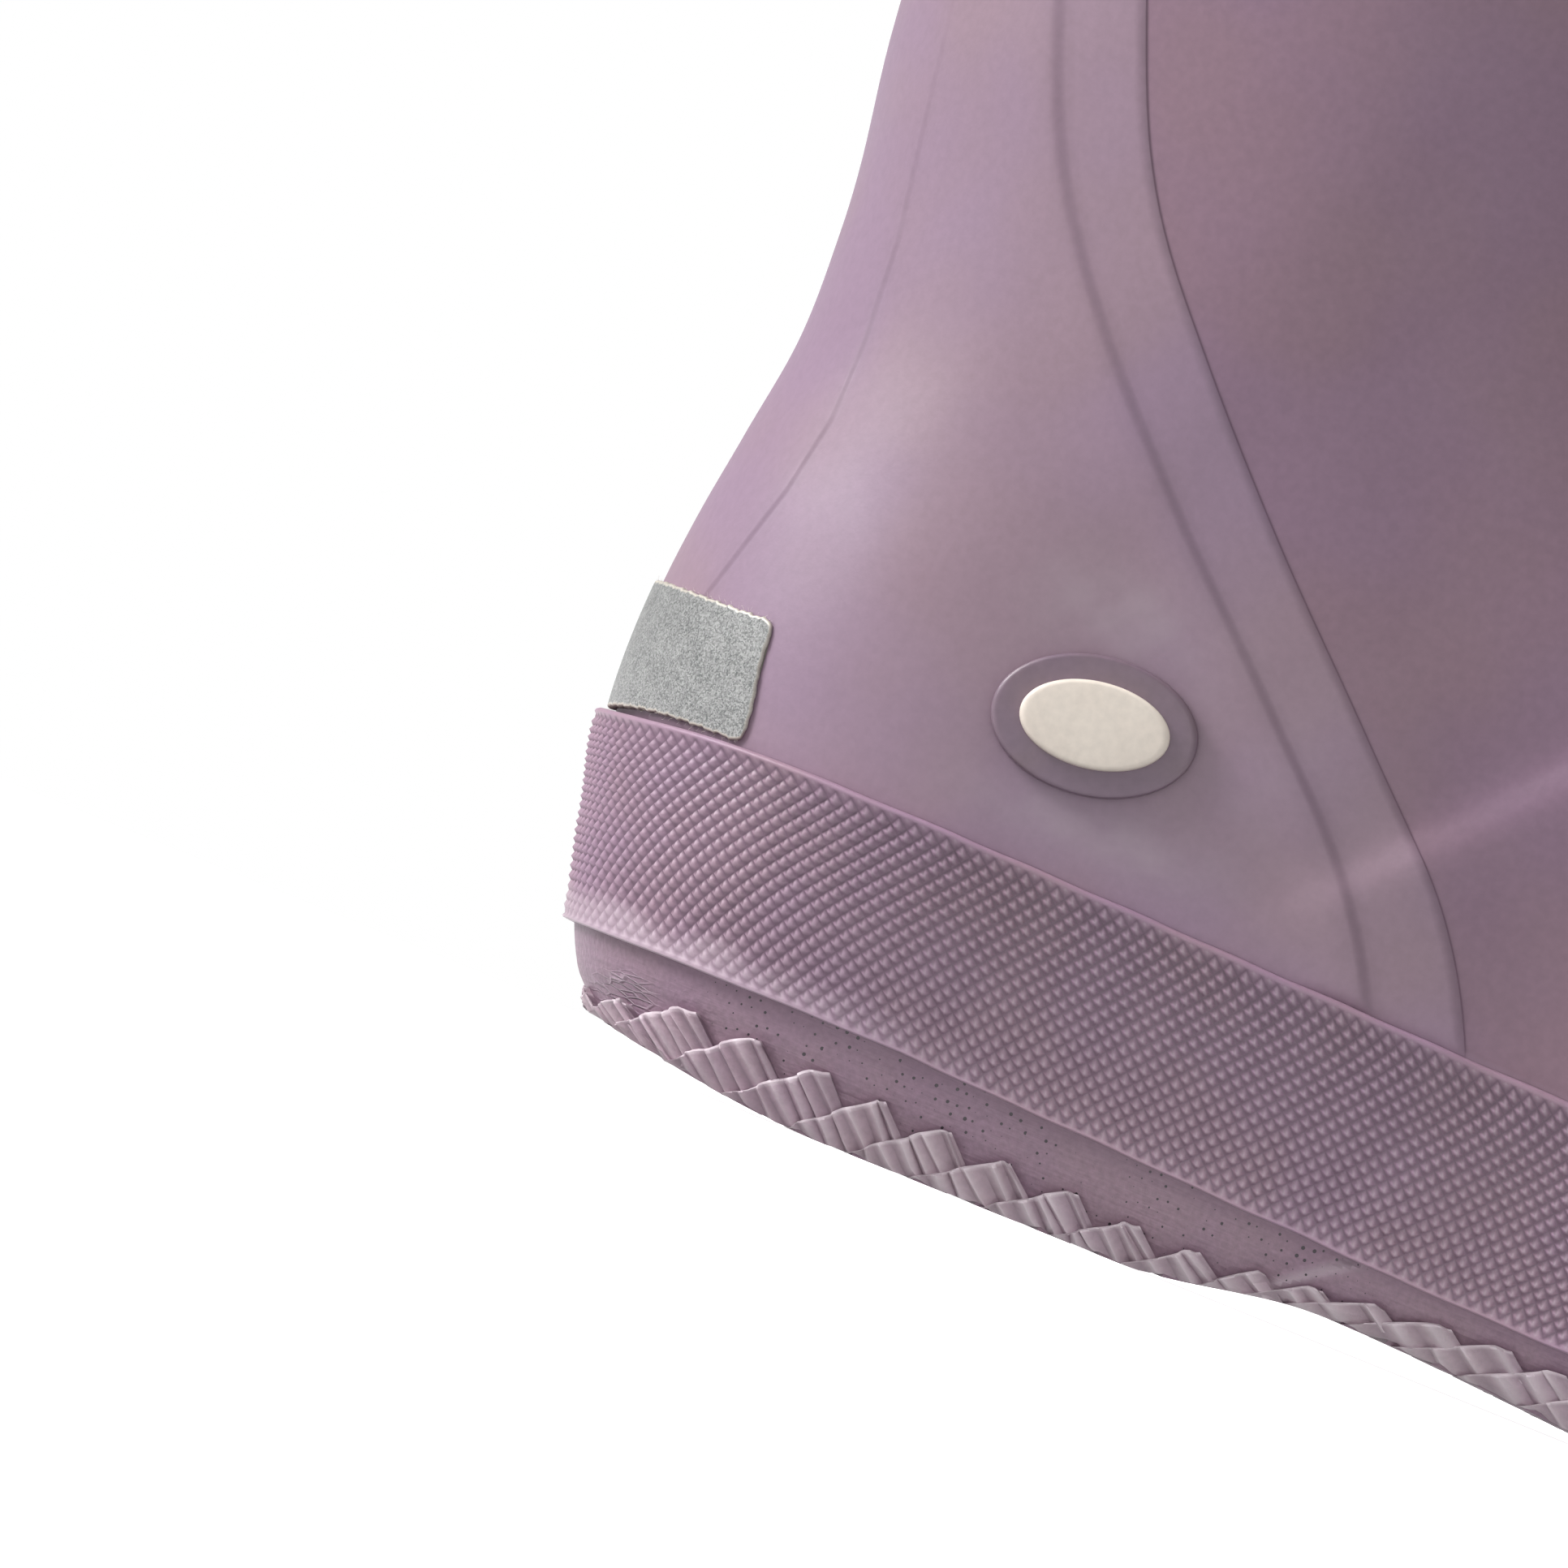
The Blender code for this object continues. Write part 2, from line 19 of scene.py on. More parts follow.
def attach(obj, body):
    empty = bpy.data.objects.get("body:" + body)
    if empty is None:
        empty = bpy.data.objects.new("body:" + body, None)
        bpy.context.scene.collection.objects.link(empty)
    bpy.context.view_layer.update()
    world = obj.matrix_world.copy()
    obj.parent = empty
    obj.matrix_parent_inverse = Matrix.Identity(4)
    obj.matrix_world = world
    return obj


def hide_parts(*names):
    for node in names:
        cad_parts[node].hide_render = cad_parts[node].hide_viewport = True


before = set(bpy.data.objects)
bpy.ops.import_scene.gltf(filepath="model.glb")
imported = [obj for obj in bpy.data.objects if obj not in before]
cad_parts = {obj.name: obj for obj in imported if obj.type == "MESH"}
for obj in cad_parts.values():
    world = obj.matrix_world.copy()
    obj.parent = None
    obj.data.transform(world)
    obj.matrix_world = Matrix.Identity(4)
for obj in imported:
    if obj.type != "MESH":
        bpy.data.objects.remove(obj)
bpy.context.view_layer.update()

BODY = "root"
MM = 0.001
ORIGIN = np.array([91.4, 0.2, 0.0])  # the frame's origin, from the heel's rearmost line, in mm
IMAGE_SIDE = 1932  # pixels of the square picture
LOG = logging.getLogger("boot")
HALF_TURN = np.linspace(0, math.pi, 1441)  # angles along one side, close enough to measure by
WHOLE_TURN = np.linspace(0, 2 * math.pi, 2881)

# Inputs of a colour Mix node, and the range that most of a noise's values keep to.
MIX_FACTOR, MIX_A, MIX_B = 0, 6, 7
NOISE_RANGE = {"From Min": 0.3, "From Max": 0.7}

# Short names of Blender's own types.
Tree = bpy.types.NodeTree
Node = bpy.types.Node
Socket = bpy.types.NodeSocket
Piece = bpy.types.Object


class Side(Enum):
    """The two sides of the foot, by the sign of y."""

    OUTER = -1
    INNER = 1


class Face(IntEnum):
    """Material slots of the upper."""

    RUBBER = 0
    LINING = 1


class Section(NamedTuple):
    """One cut through the boot's skin, from the back line to the front line."""

    level: float  # height at the back line
    back: float  # how far in front of the heel's rearmost line it starts
    front: float  # how far forward it ends, as a share of the foot's length
    rise: float  # how much higher its front end is
    heel: float  # half width at the heel, as a share of the ball's half width
    waist: float  # half width at the waist, as a share of the same
    ball: float  # half width at the ball, as a share of the same
    back_round: float  # share of the length in the rounded back
    front_round: float  # share of the length in the rounded front
    swing: float  # lean of the front end towards the inner side
    arch: float  # how much the inner waist is hollowed and the outer waist filled
    sag: float  # share of the foot's under line that it follows


SECTIONS = (
    Section(10.3, 5.2, 0.979, 0.0, 0.675, 0.628, 0.933, 0.17, 0.25, 5.0, 2.2, 1.00),
    Section(18.0, 2.9, 1.000, 0.0, 0.739, 0.700, 0.997, 0.17, 0.25, 5.0, 2.0, 0.90),
    Section(27.9, 1.2, 0.990, 0.5, 0.767, 0.744, 0.992, 0.18, 0.27, 5.0, 1.6, 0.75),
    Section(36.0, 0.95, 0.933, 5.2, 0.761, 0.772, 0.964, 0.18, 0.32, 4.4, 1.1, 0.55),
    Section(45.0, 1.7, 0.824, 6.8, 0.747, 0.800, 0.922, 0.20, 0.39, 3.4, 0.6, 0.35),
    Section(53.0, 2.9, 0.723, 8.8, 0.747, 0.828, 0.894, 0.24, 0.45, 2.4, 0.2, 0.15),
    Section(62.0, 4.0, 0.635, 12.2, 0.767, 0.856, 0.875, 0.30, 0.48, 1.5, 0.0, 0.00),
    Section(72.0, 3.8, 0.568, 16.2, 0.814, 0.894, 0.883, 0.37, 0.50, 0.8, 0.0, 0.00),
    Section(90.0, 1.4, 0.527, 17.2, 0.911, 0.961, 0.933, 0.46, 0.50, 0.2, 0.0, 0.00),
    Section(130.0, -2.7, 0.510, 11.5, 1.028, 1.056, 1.028, 0.50, 0.50, 0.0, 0.0, 0.00),
    Section(195.0, -5.5, 0.507, 1.5, 1.094, 1.111, 1.094, 0.50, 0.50, 0.0, 0.0, 0.00),
)


class StripRow(NamedTuple):
    """Where the raised side strip runs at one height, in side view."""

    height: float
    rear: float  # its soft rear edge
    front: float  # its cut front edge


STRIP = (
    StripRow(8.0, 71.5, 79.5),
    StripRow(27.0, 67.7, 76.3),
    StripRow(36.4, 61.5, 70.5),
    StripRow(46.9, 50.9, 59.9),
    StripRow(59.5, 37.5, 46.7),
    StripRow(70.9, 26.9, 35.9),
    StripRow(79.7, 20.4, 28.6),
    StripRow(97.1, 12.9, 20.1),
    StripRow(118.0, 8.0, 14.9),
    StripRow(150.0, 5.4, 12.2),
    StripRow(200.0, 3.6, 10.4),
)


class Crease(NamedTuple):
    """A soft ridge with a trough above it, along a line in side view."""

    side: Side
    line: tuple[tuple[float, float], ...]  # x and z of its points, from its faint end
    ridge: float  # height of the ridge
    trough: float  # depth of the trough above it
    below: float  # how far the ridge spreads downwards
    above: float  # how far the trough spreads upwards


CREASES = (
    Crease(
        Side.OUTER,
        ((52.0, 23.5), (57.0, 29.0), (63.6, 35.5), (71.2, 43.9), (76.4, 49.7), (88.0, 62.0), (106.0, 84.0)),
        ridge=0.6, trough=1.0, below=8.0, above=8.0,
    ),
    Crease(
        Side.INNER,
        ((58.0, 30.0), (66.0, 38.5), (76.0, 49.5), (88.0, 62.0), (106.0, 84.0)),
        ridge=0.7, trough=0.7, below=8.0, above=9.0,
    ),
    Crease(
        Side.OUTER,
        ((88.0, 74.0), (96.0, 80.0), (107.0, 93.0)),
        ridge=0.4, trough=0.5, below=6.0, above=7.0,
    ),
    Crease(
        Side.INNER,
        ((86.0, 71.0), (96.0, 79.0), (107.0, 93.0)),
        ridge=0.4, trough=0.5, below=6.0, above=7.0,
    ),
)


class EdgeRow(NamedTuple):
    """The toothed edge at one place along the sole."""

    x: float
    peak: float  # height of a tooth's front corner above the underside
    tooth: float  # drop from that corner to the next tooth
    pitch: float  # length of a tooth along the edge
    pleat: float  # width of the pleats in its face


EDGE = (
    EdgeRow(0.0, 1.7, 1.2, 10.0, 1.6),
    EdgeRow(8.0, 2.7, 1.7, 9.4, 1.6),
    EdgeRow(16.0, 5.8, 2.4, 7.4, 1.5),
    EdgeRow(24.0, 6.3, 2.6, 6.5, 1.5),
    EdgeRow(33.0, 5.9, 2.5, 5.8, 1.4),
    EdgeRow(45.0, 4.9, 2.2, 5.8, 1.4),
    EdgeRow(60.0, 3.6, 2.0, 5.6, 1.4),
    EdgeRow(69.0, 2.4, 1.6, 5.3, 1.8),
    EdgeRow(76.0, 2.8, 1.2, 5.3, 2.5),
    EdgeRow(86.0, 4.1, 1.5, 5.3, 2.7),
    EdgeRow(140.0, 4.1, 1.5, 5.3, 2.7),
    EdgeRow(188.0, 3.6, 1.4, 5.3, 2.7),
)


class Scuff(NamedTuple):
    """A soft spot of dry dust, in side view."""

    strength: float
    x: float
    z: float
    long: float  # how far it spreads along the boot
    tall: float  # how far it spreads upwards


# Wide and faint round the badge, and rubbed on above it and below it.
SCUFFS = (
    Scuff(0.10, 46.0, 40.0, 20.0, 12.0),
    Scuff(0.22, 37.0, 49.5, 6.5, 3.2),
    Scuff(0.26, 42.0, 31.6, 9.0, 2.4),
)


class Tread(NamedTuple):
    """A run of grooves across the sole."""

    start: float  # rear wall of its first groove
    count: int
    pitch: float
    width: float
    depth: float
    end_depth: float  # depth where a groove runs out at the sole's edge
    notch: float  # how far a groove's end notches the sole's lower edge


TREADS = (
    Tread(13.0, 9, 5.5, 2.9, 2.6, 1.2, 0.45),
    Tread(73.0, 25, 4.06, 1.9, 2.2, 1.0, 0.6),
)


def blend(keys: np.ndarray, rows: Any, at: Any) -> np.ndarray:
    """Smooth curve through a table's rows: cubic pieces that share the slopes between neighbouring rows.

    Args:
        keys: rising values, one for each row.
        rows: the rows, as numbers or as columns of numbers.
        at: the value, or an array of values, to read the table at.

    Returns:
        The row, or rows, at that value.
    """
    rows = np.asarray(rows, dtype=float)
    at = np.clip(np.asarray(at, dtype=float), keys[0], keys[-1])
    slopes = np.gradient(rows, keys, axis=0)
    piece = np.clip(np.searchsorted(keys, at) - 1, 0, len(keys) - 2)
    span = keys[piece + 1] - keys[piece]
    u = (at - keys[piece]) / span
    start, end = rows[piece], rows[piece + 1]
    leave, arrive = slopes[piece], slopes[piece + 1]
    if rows.ndim > 1 and u.ndim:
        u, span = u[:, None], span[:, None]
    return (
        start * (2 * u**3 - 3 * u**2 + 1)
        + end * (3 * u**2 - 2 * u**3)
        + span * leave * (u**3 - 2 * u**2 + u)
        + span * arrive * (u**3 - u**2)
    )


def ease(share: Any) -> Any:
    """Smooth step from 0 to 1 over shares 0 to 1."""
    share = np.clip(share, 0.0, 1.0)
    return share * share * (3 - 2 * share)


def arc_lengths(points: np.ndarray) -> np.ndarray:
    """Running length along a row of points."""
    steps = np.linalg.norm(np.diff(points, axis=0), axis=1)
    return np.concatenate([[0.0], np.cumsum(steps)])


def ripple(points: np.ndarray, length: float, turn: float) -> np.ndarray:
    """Slow, uneven waviness between -1 and 1 at points in space.

    Args:
        points: points in mm.
        length: the main wave length in mm.
        turn: a shift that makes one ripple unlike another.

    Returns:
        One value for each point.
    """
    x, y, z = np.moveaxis(points, -1, 0) * (2 * math.pi / length)
    return (
        np.sin(x * 0.9 + 0.7 * z + turn) * np.sin(z * 0.8 - 0.3 * y + 2.1 * turn)
        + 0.5 * np.sin(1.9 * x - 1.3 * z + 0.8 * y + 3.7 * turn)
    ) / 1.5


@dataclass(frozen=True)
class Last:
    """The form that the boot is made over, as an outer skin, in millimetres."""

    foot_length: float = 187.5
    ball_half: float = 36.0
    heel_drop: float = 3.3  # how much lower the ball stands than the heel, inside
    ball_x: float = 112.0
    toe_spring: float = 6.0
    spring_from: float = 138.0
    heel_at: float = 0.16  # shares of a section's length at which its half widths are given
    waist_at: float = 0.42
    ball_at: float = 0.66
    swing_from: float = 0.3  # share of a section's length from which its front swings inwards
    turn: float = 0.01  # small steps in angle and level that give the skin's slope
    climb: float = 0.5
    search_rounds: int = 20  # for the place of a point that is given in side view
    search_pace: float = 0.8

    def section(self, level: Any) -> Section:
        """The section at a level, or the sections at an array of levels."""
        levels = np.array([row.level for row in SECTIONS])
        return Section(*np.moveaxis(blend(levels, SECTIONS, level), -1, 0))

    def spring(self, x: np.ndarray) -> np.ndarray:
        """Lift of the toe off the floor."""
        share = np.clip((x - self.spring_from) / (self.foot_length - self.spring_from), 0, 1)
        return self.toe_spring * share**2

    def under_line(self, x: np.ndarray) -> np.ndarray:
        """Height of the foot's under line above its height at the heel."""
        drop = self.heel_drop * (1 - np.cos(math.pi * np.clip(x / self.ball_x, 0, 1))) / 2
        return self.spring(x) - drop

    def skin(self, level: Any, angle: Any) -> np.ndarray:
        """Points of the outer skin.

        Args:
            level: a level, or one for each angle.
            angle: the angles.

        Returns:
            One point for each angle.
        """
        cut = self.section(level)
        angle = np.asarray(angle, dtype=float)
        share = (1 - np.cos(angle)) / 2
        side = np.where(np.sin(angle) >= 0, -1.0, 1.0)
        x = cut.back + share * (cut.front * self.foot_length - cut.back)
        heel = cut.heel * self.ball_half
        waist = cut.waist * self.ball_half - side * cut.arch
        ball = cut.ball * self.ball_half
        to_waist = ease((share - self.heel_at) / (self.waist_at - self.heel_at))
        to_ball = ease((share - self.waist_at) / (self.ball_at - self.waist_at))
        half = heel + (waist - heel) * to_waist + (ball - waist) * to_ball
        back = np.clip(1 - share / cut.back_round, 0, 1)
        front = np.clip((share - 1 + cut.front_round) / cut.front_round, 0, 1)
        half = half * np.sqrt(1 - back**2) * np.sqrt(1 - front**2)
        y = side * half + cut.swing * ease((share - self.swing_from) / (1 - self.swing_from))
        z = cut.level + cut.rise * share + cut.sag * self.under_line(x)
        return np.stack([x, y, z], axis=-1)

    def normals(self, level: Any, angle: Any) -> np.ndarray:
        """Outward unit normals of the skin, by small differences.

        Args:
            level: a level, or one for each angle.
            angle: the angles.

        Returns:
            One normal for each angle.
        """
        angle = np.asarray(angle, dtype=float)
        along = self.skin(level, angle + self.turn) - self.skin(level, angle - self.turn)
        up = self.skin(level + self.climb, angle) - self.skin(level - self.climb, angle)
        normals = np.cross(along, up)
        return normals / np.linalg.norm(normals, axis=-1, keepdims=True)

    def offset(self, level: Any, angle: Any, distance: Any) -> np.ndarray:
        """Points at a distance outside the skin, or inside it where the distance is negative."""
        distance = np.broadcast_to(np.asarray(distance, dtype=float), np.shape(angle))
        return self.skin(level, angle) + distance[..., None] * self.normals(level, angle)

    def even_angles(self, level: float, count: int) -> np.ndarray:
        """Angles that part a whole turn of the skin into equal lengths, with the last on the first."""
        lengths = arc_lengths(self.skin(level, WHOLE_TURN))
        return np.interp(np.linspace(0, lengths[-1], count + 1), lengths, WHOLE_TURN)

    def place(self, x: np.ndarray, z: np.ndarray) -> tuple[np.ndarray, np.ndarray]:
        """Find places on the outer side's skin.

        Args:
            x: how far forward they lie, in side view.
            z: how high they lie.

        Returns:
            Their levels and their angles.
        """
        level = np.array(z, dtype=float)
        angle = np.zeros(len(level))
        for _ in range(self.search_rounds):
            cut = self.section(level)
            share = np.clip((x - cut.back) / (cut.front * self.foot_length - cut.back), 0, 1)
            angle = np.arccos(1 - 2 * share)
            level = level + self.search_pace * (z - self.skin(level, angle)[:, 2])
        return level, angle


LAST = Last()


def srgb(code: str) -> tuple[float, float, float, float]:
    """Turn an sRGB colour to linear.

    Args:
        code: its hex value, such as #9C8592.

    Returns:
        The linear colour, opaque.
    """
    parts = [int(code[i:i + 2], 16) / 255 for i in (1, 3, 5)]
    linear = [c / 12.92 if c <= 0.04045 else ((c + 0.055) / 1.055) ** 2.4 for c in parts]
    return (*linear, 1.0)


def per_mm(size: float) -> float:
    """Texture scale whose cells are about that many millimetres wide."""
    return 1000.0 / size


def feed(node: Node, inputs: dict[str | int, Any]) -> None:
    """Fill a node's inputs.

    Args:
        node: the node.
        inputs: by name or number, a value, a socket to link, or a node whose first output in use is linked.
    """
    for key, value in inputs.items():
        if isinstance(value, Node):
            value = next(output for output in value.outputs if output.enabled)
        if isinstance(value, Socket):
            node.id_data.links.new(value, node.inputs[key])
        else:
            node.inputs[key].default_value = value


def add_node(tree: Tree, kind: str, inputs: dict[str | int, Any] | None = None, **settings: Any) -> Node:
    """Add a node with its settings, values and links.

    Args:
        tree: the node tree that it goes in.
        kind: the node's type, such as TexNoise.
        inputs: what goes in, as feed takes it.
        settings: properties of the node itself.

    Returns:
        The new node.
    """
    node = tree.nodes.new("ShaderNode" + kind)
    for name, value in settings.items():
        setattr(node, name, value)
    feed(node, inputs or {})
    return node


def new_material(name: str) -> tuple[bpy.types.Material, Tree, Node]:
    """Make a material.

    Args:
        name: its name.

    Returns:
        The material, its node tree and its shader.
    """
    material = bpy.data.materials.new(name)
    material.use_nodes = True
    tree = material.node_tree
    return material, tree, tree.nodes["Principled BSDF"]


def deselect() -> None:
    """Go to object mode with nothing selected."""
    if bpy.context.object and bpy.context.object.mode != "OBJECT":
        bpy.ops.object.mode_set(mode="OBJECT")
    bpy.ops.object.select_all(action="DESELECT")


def pick(piece: Piece) -> None:
    """Select one piece alone and make it active.

    Args:
        piece: the piece.
    """
    deselect()
    piece.select_set(True)
    bpy.context.view_layer.objects.active = piece


def sheet(
    name: str,
    points: np.ndarray,
    marks: dict[str, np.ndarray] | None = None,
    slots: np.ndarray | None = None,
    spread: np.ndarray | None = None,
    seam: float = 0.002,
) -> Piece:
    """Grid of quads laid through points, with edges that meet closed up.

    Args:
        name: the piece's name.
        points: rows by columns by 3, in mm; a whole turn repeats its first column as its last.
        marks: named values for the vertices, rows by columns, kept as attributes.
        slots: material slot of each face, rows less one by columns less one.
        spread: flat place of each point, in mm, kept as the piece's UV map.
        seam: points closer than this, in mm, become one.

    Returns:
        The piece, at the origin, with its place in its mesh.
    """
    rows, columns = points.shape[:2]
    deselect()
    bpy.ops.mesh.primitive_grid_add(x_subdivisions=columns - 1, y_subdivisions=rows - 1, size=1.0)
    piece = bpy.context.object
    piece.name = name
    mesh = piece.data
    mesh.name = name
    mesh.vertices.foreach_set("co", ((points - ORIGIN) * MM).astype(np.float32).ravel())
    for mark, values in (marks or {}).items():
        layer = mesh.attributes.new(mark, "FLOAT", "POINT")
        layer.data.foreach_set("value", np.asarray(values, dtype=np.float32).ravel())
    if slots is not None:
        mesh.polygons.foreach_set("material_index", slots.astype(np.int32).ravel())
    if spread is not None:
        corners = np.zeros(len(mesh.loops), dtype=np.int32)
        mesh.loops.foreach_get("vertex_index", corners)
        flat = spread.reshape(-1, 2)[corners].astype(np.float32)
        mesh.uv_layers["UVMap"].data.foreach_set("uv", flat.ravel())
    bpy.ops.object.mode_set(mode="EDIT")
    bpy.ops.mesh.select_all(action="SELECT")
    bpy.ops.mesh.remove_doubles(threshold=seam * MM)
    bpy.ops.object.mode_set(mode="OBJECT")
    bpy.ops.object.shade_smooth()
    mesh.update()
    return piece


def join(name: str, pieces: list[Piece]) -> Piece:
    """Join pieces into one.

    Args:
        name: the name of the whole.
        pieces: the pieces.

    Returns:
        The whole.
    """
    pick(pieces[0])
    for piece in pieces:
        piece.select_set(True)
    bpy.ops.object.join()
    joined = bpy.context.object
    joined.name = name
    joined.data.name = name
    return joined


def to_spine(ring: np.ndarray) -> np.ndarray:
    """Ring drawn together onto its middle line, each column with its partner on the other side."""
    return (ring + ring[::-1]) / 2


def inset(ring: np.ndarray, distance: Any) -> np.ndarray:
    """Move a closed ring, its last point on its first, inwards in plan.

    Args:
        ring: its points.
        distance: how far, for all or for each.

    Returns:
        The moved ring.
    """
    body = ring[:-1]
    ahead = np.roll(body, -1, axis=0)[:, :2] - np.roll(body, 1, axis=0)[:, :2]
    ahead = ahead / np.linalg.norm(ahead, axis=1, keepdims=True)
    ahead = np.concatenate([ahead, ahead[:1]])
    distance = np.broadcast_to(np.asarray(distance, dtype=float), (len(ring),))
    moved = ring.copy()
    moved[:, 0] -= distance * ahead[:, 1]
    moved[:, 1] += distance * ahead[:, 0]
    return moved


def settle(piece: Piece, node: str, *finishes: "Rubber | Fabric") -> None:
    """Dress a finished piece, ride it on the boot in place of its solid, and report it.

    Args:
        piece: the finished piece.
        node: the solid that it stands for, which it hides.
        finishes: the finish of each of its material slots.
    """
    for finish in finishes:
        piece.data.materials.append(finish.build())
    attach(piece, BODY)
    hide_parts(node)
    piece.data.calc_loop_triangles()
    LOG.info("%s: %d triangles", piece.name, len(piece.data.loop_triangles))


@dataclass(frozen=True)
class Rubber:
    """Vulcanised natural rubber, dipped and moulded: an even satin skin under a faint violet bloom."""

    name: str
    grey: str  # colour where the bloom is thin
    violet: str  # colour where it is thick
    seam: str = "#5B4356"  # colour of the painted shade at cut edges, in valleys and crevices and under the lip
    dust_and_painted_highlight: str = "#B8A9B2"  # colour of dry dust in the low relief, and of painted highlights on tips, ridges and edges
    panel: str = "#EADFE4"  # tint of the front panel, which is cut from a darker sheet
    ior: float = 1.52
    roughness: float = 0.46
    patchy: float = 0.05  # how much duller and glossier its patches are
    patch_mm: float = 9.0
    bloom_mm: float = 26.0
    mottle: float = 0.05  # how much lighter and darker its specks are
    mottle_mm: float = 0.8
    grain_mm: float = 0.3
    grain_height: float = 0.008
    grain_detail: float = 2.0

    def build(self) -> bpy.types.Material:
        """Make the material.

        Returns:
            The material, with its colour from bloom, mottle, painted shade, dust and painted highlights, and
            a fine grain.
        """
        material, tree, shader = new_material(self.name)
        place = add_node(tree, "TexCoord").outputs["Object"]
        dull, glossy = self.roughness + self.patchy, self.roughness - self.patchy
        rough = add_node(tree, "TexNoise", {"Vector": place, "Scale": per_mm(self.patch_mm), "Detail": 3.0})
        rough = add_node(tree, "MapRange", {"Value": rough, **NOISE_RANGE, "To Min": glossy, "To Max": dull})
        height, colour = self.height(tree, place), self.colour(tree, place)
        bump = add_node(tree, "Bump", {"Height": height, "Distance": self.grain_height * MM})
        feed(shader, {"Base Color": colour, "Roughness": rough, "Normal": bump, "IOR": self.ior})
        return material

    def colour(self, tree: Tree, place: Socket) -> Node:
        """Lay bloom and mottle, the front panel's tint, dust with painted highlights, and painted shade over
        one another.

        Args:
            tree: the material's nodes.
            place: the place on the piece.

        Returns:
            The node of the colour.
        """
        bloom = add_node(
            tree, "TexNoise",
            {"Vector": place, "Scale": per_mm(self.bloom_mm), "Detail": 2.0, "Roughness": 0.55},
        )
        bloom = add_node(
            tree, "MapRange", {"Value": bloom, "From Min": 0.36, "From Max": 0.64},
            interpolation_type="SMOOTHSTEP",
        )
        specks = add_node(tree, "TexNoise", {"Vector": place, "Scale": per_mm(self.mottle_mm), "Detail": 4.0})
        specks = add_node(
            tree, "MapRange",
            {"Value": specks, **NOISE_RANGE, "To Min": 1 - self.mottle, "To Max": 1 + self.mottle},
        )
        layers = [(bloom, srgb(self.violet), "MIX"), (1.0, specks, "MULTIPLY")]
        # The dust mark holds dry dust and painted highlights, the seam mark painted shade.
        for mark, tint, how in (
            ("panel", self.panel, "MULTIPLY"), ("dust_and_painted_highlight", self.dust_and_painted_highlight, "MIX"), ("seam", self.seam, "MIX")
        ):
            share = add_node(tree, "Attribute", attribute_name=mark).outputs["Fac"]
            layers.append((share, srgb(tint), how))
        body = srgb(self.grey)
        for share, tint, how in layers:
            body = add_node(
                tree, "Mix", {MIX_FACTOR: share, MIX_A: body, MIX_B: tint}, data_type="RGBA", blend_type=how
            )
        return body

    def height(self, tree: Tree, place: Socket) -> Node:
        """Height of the skin's grain, drawn coarser than the real one so that it shows.

        Args:
            tree: the material's nodes.
            place: the place on the piece.

        Returns:
            The node of the height.
        """
        return add_node(
            tree, "TexNoise",
            {"Vector": place, "Scale": per_mm(self.grain_mm), "Detail": self.grain_detail},
        )


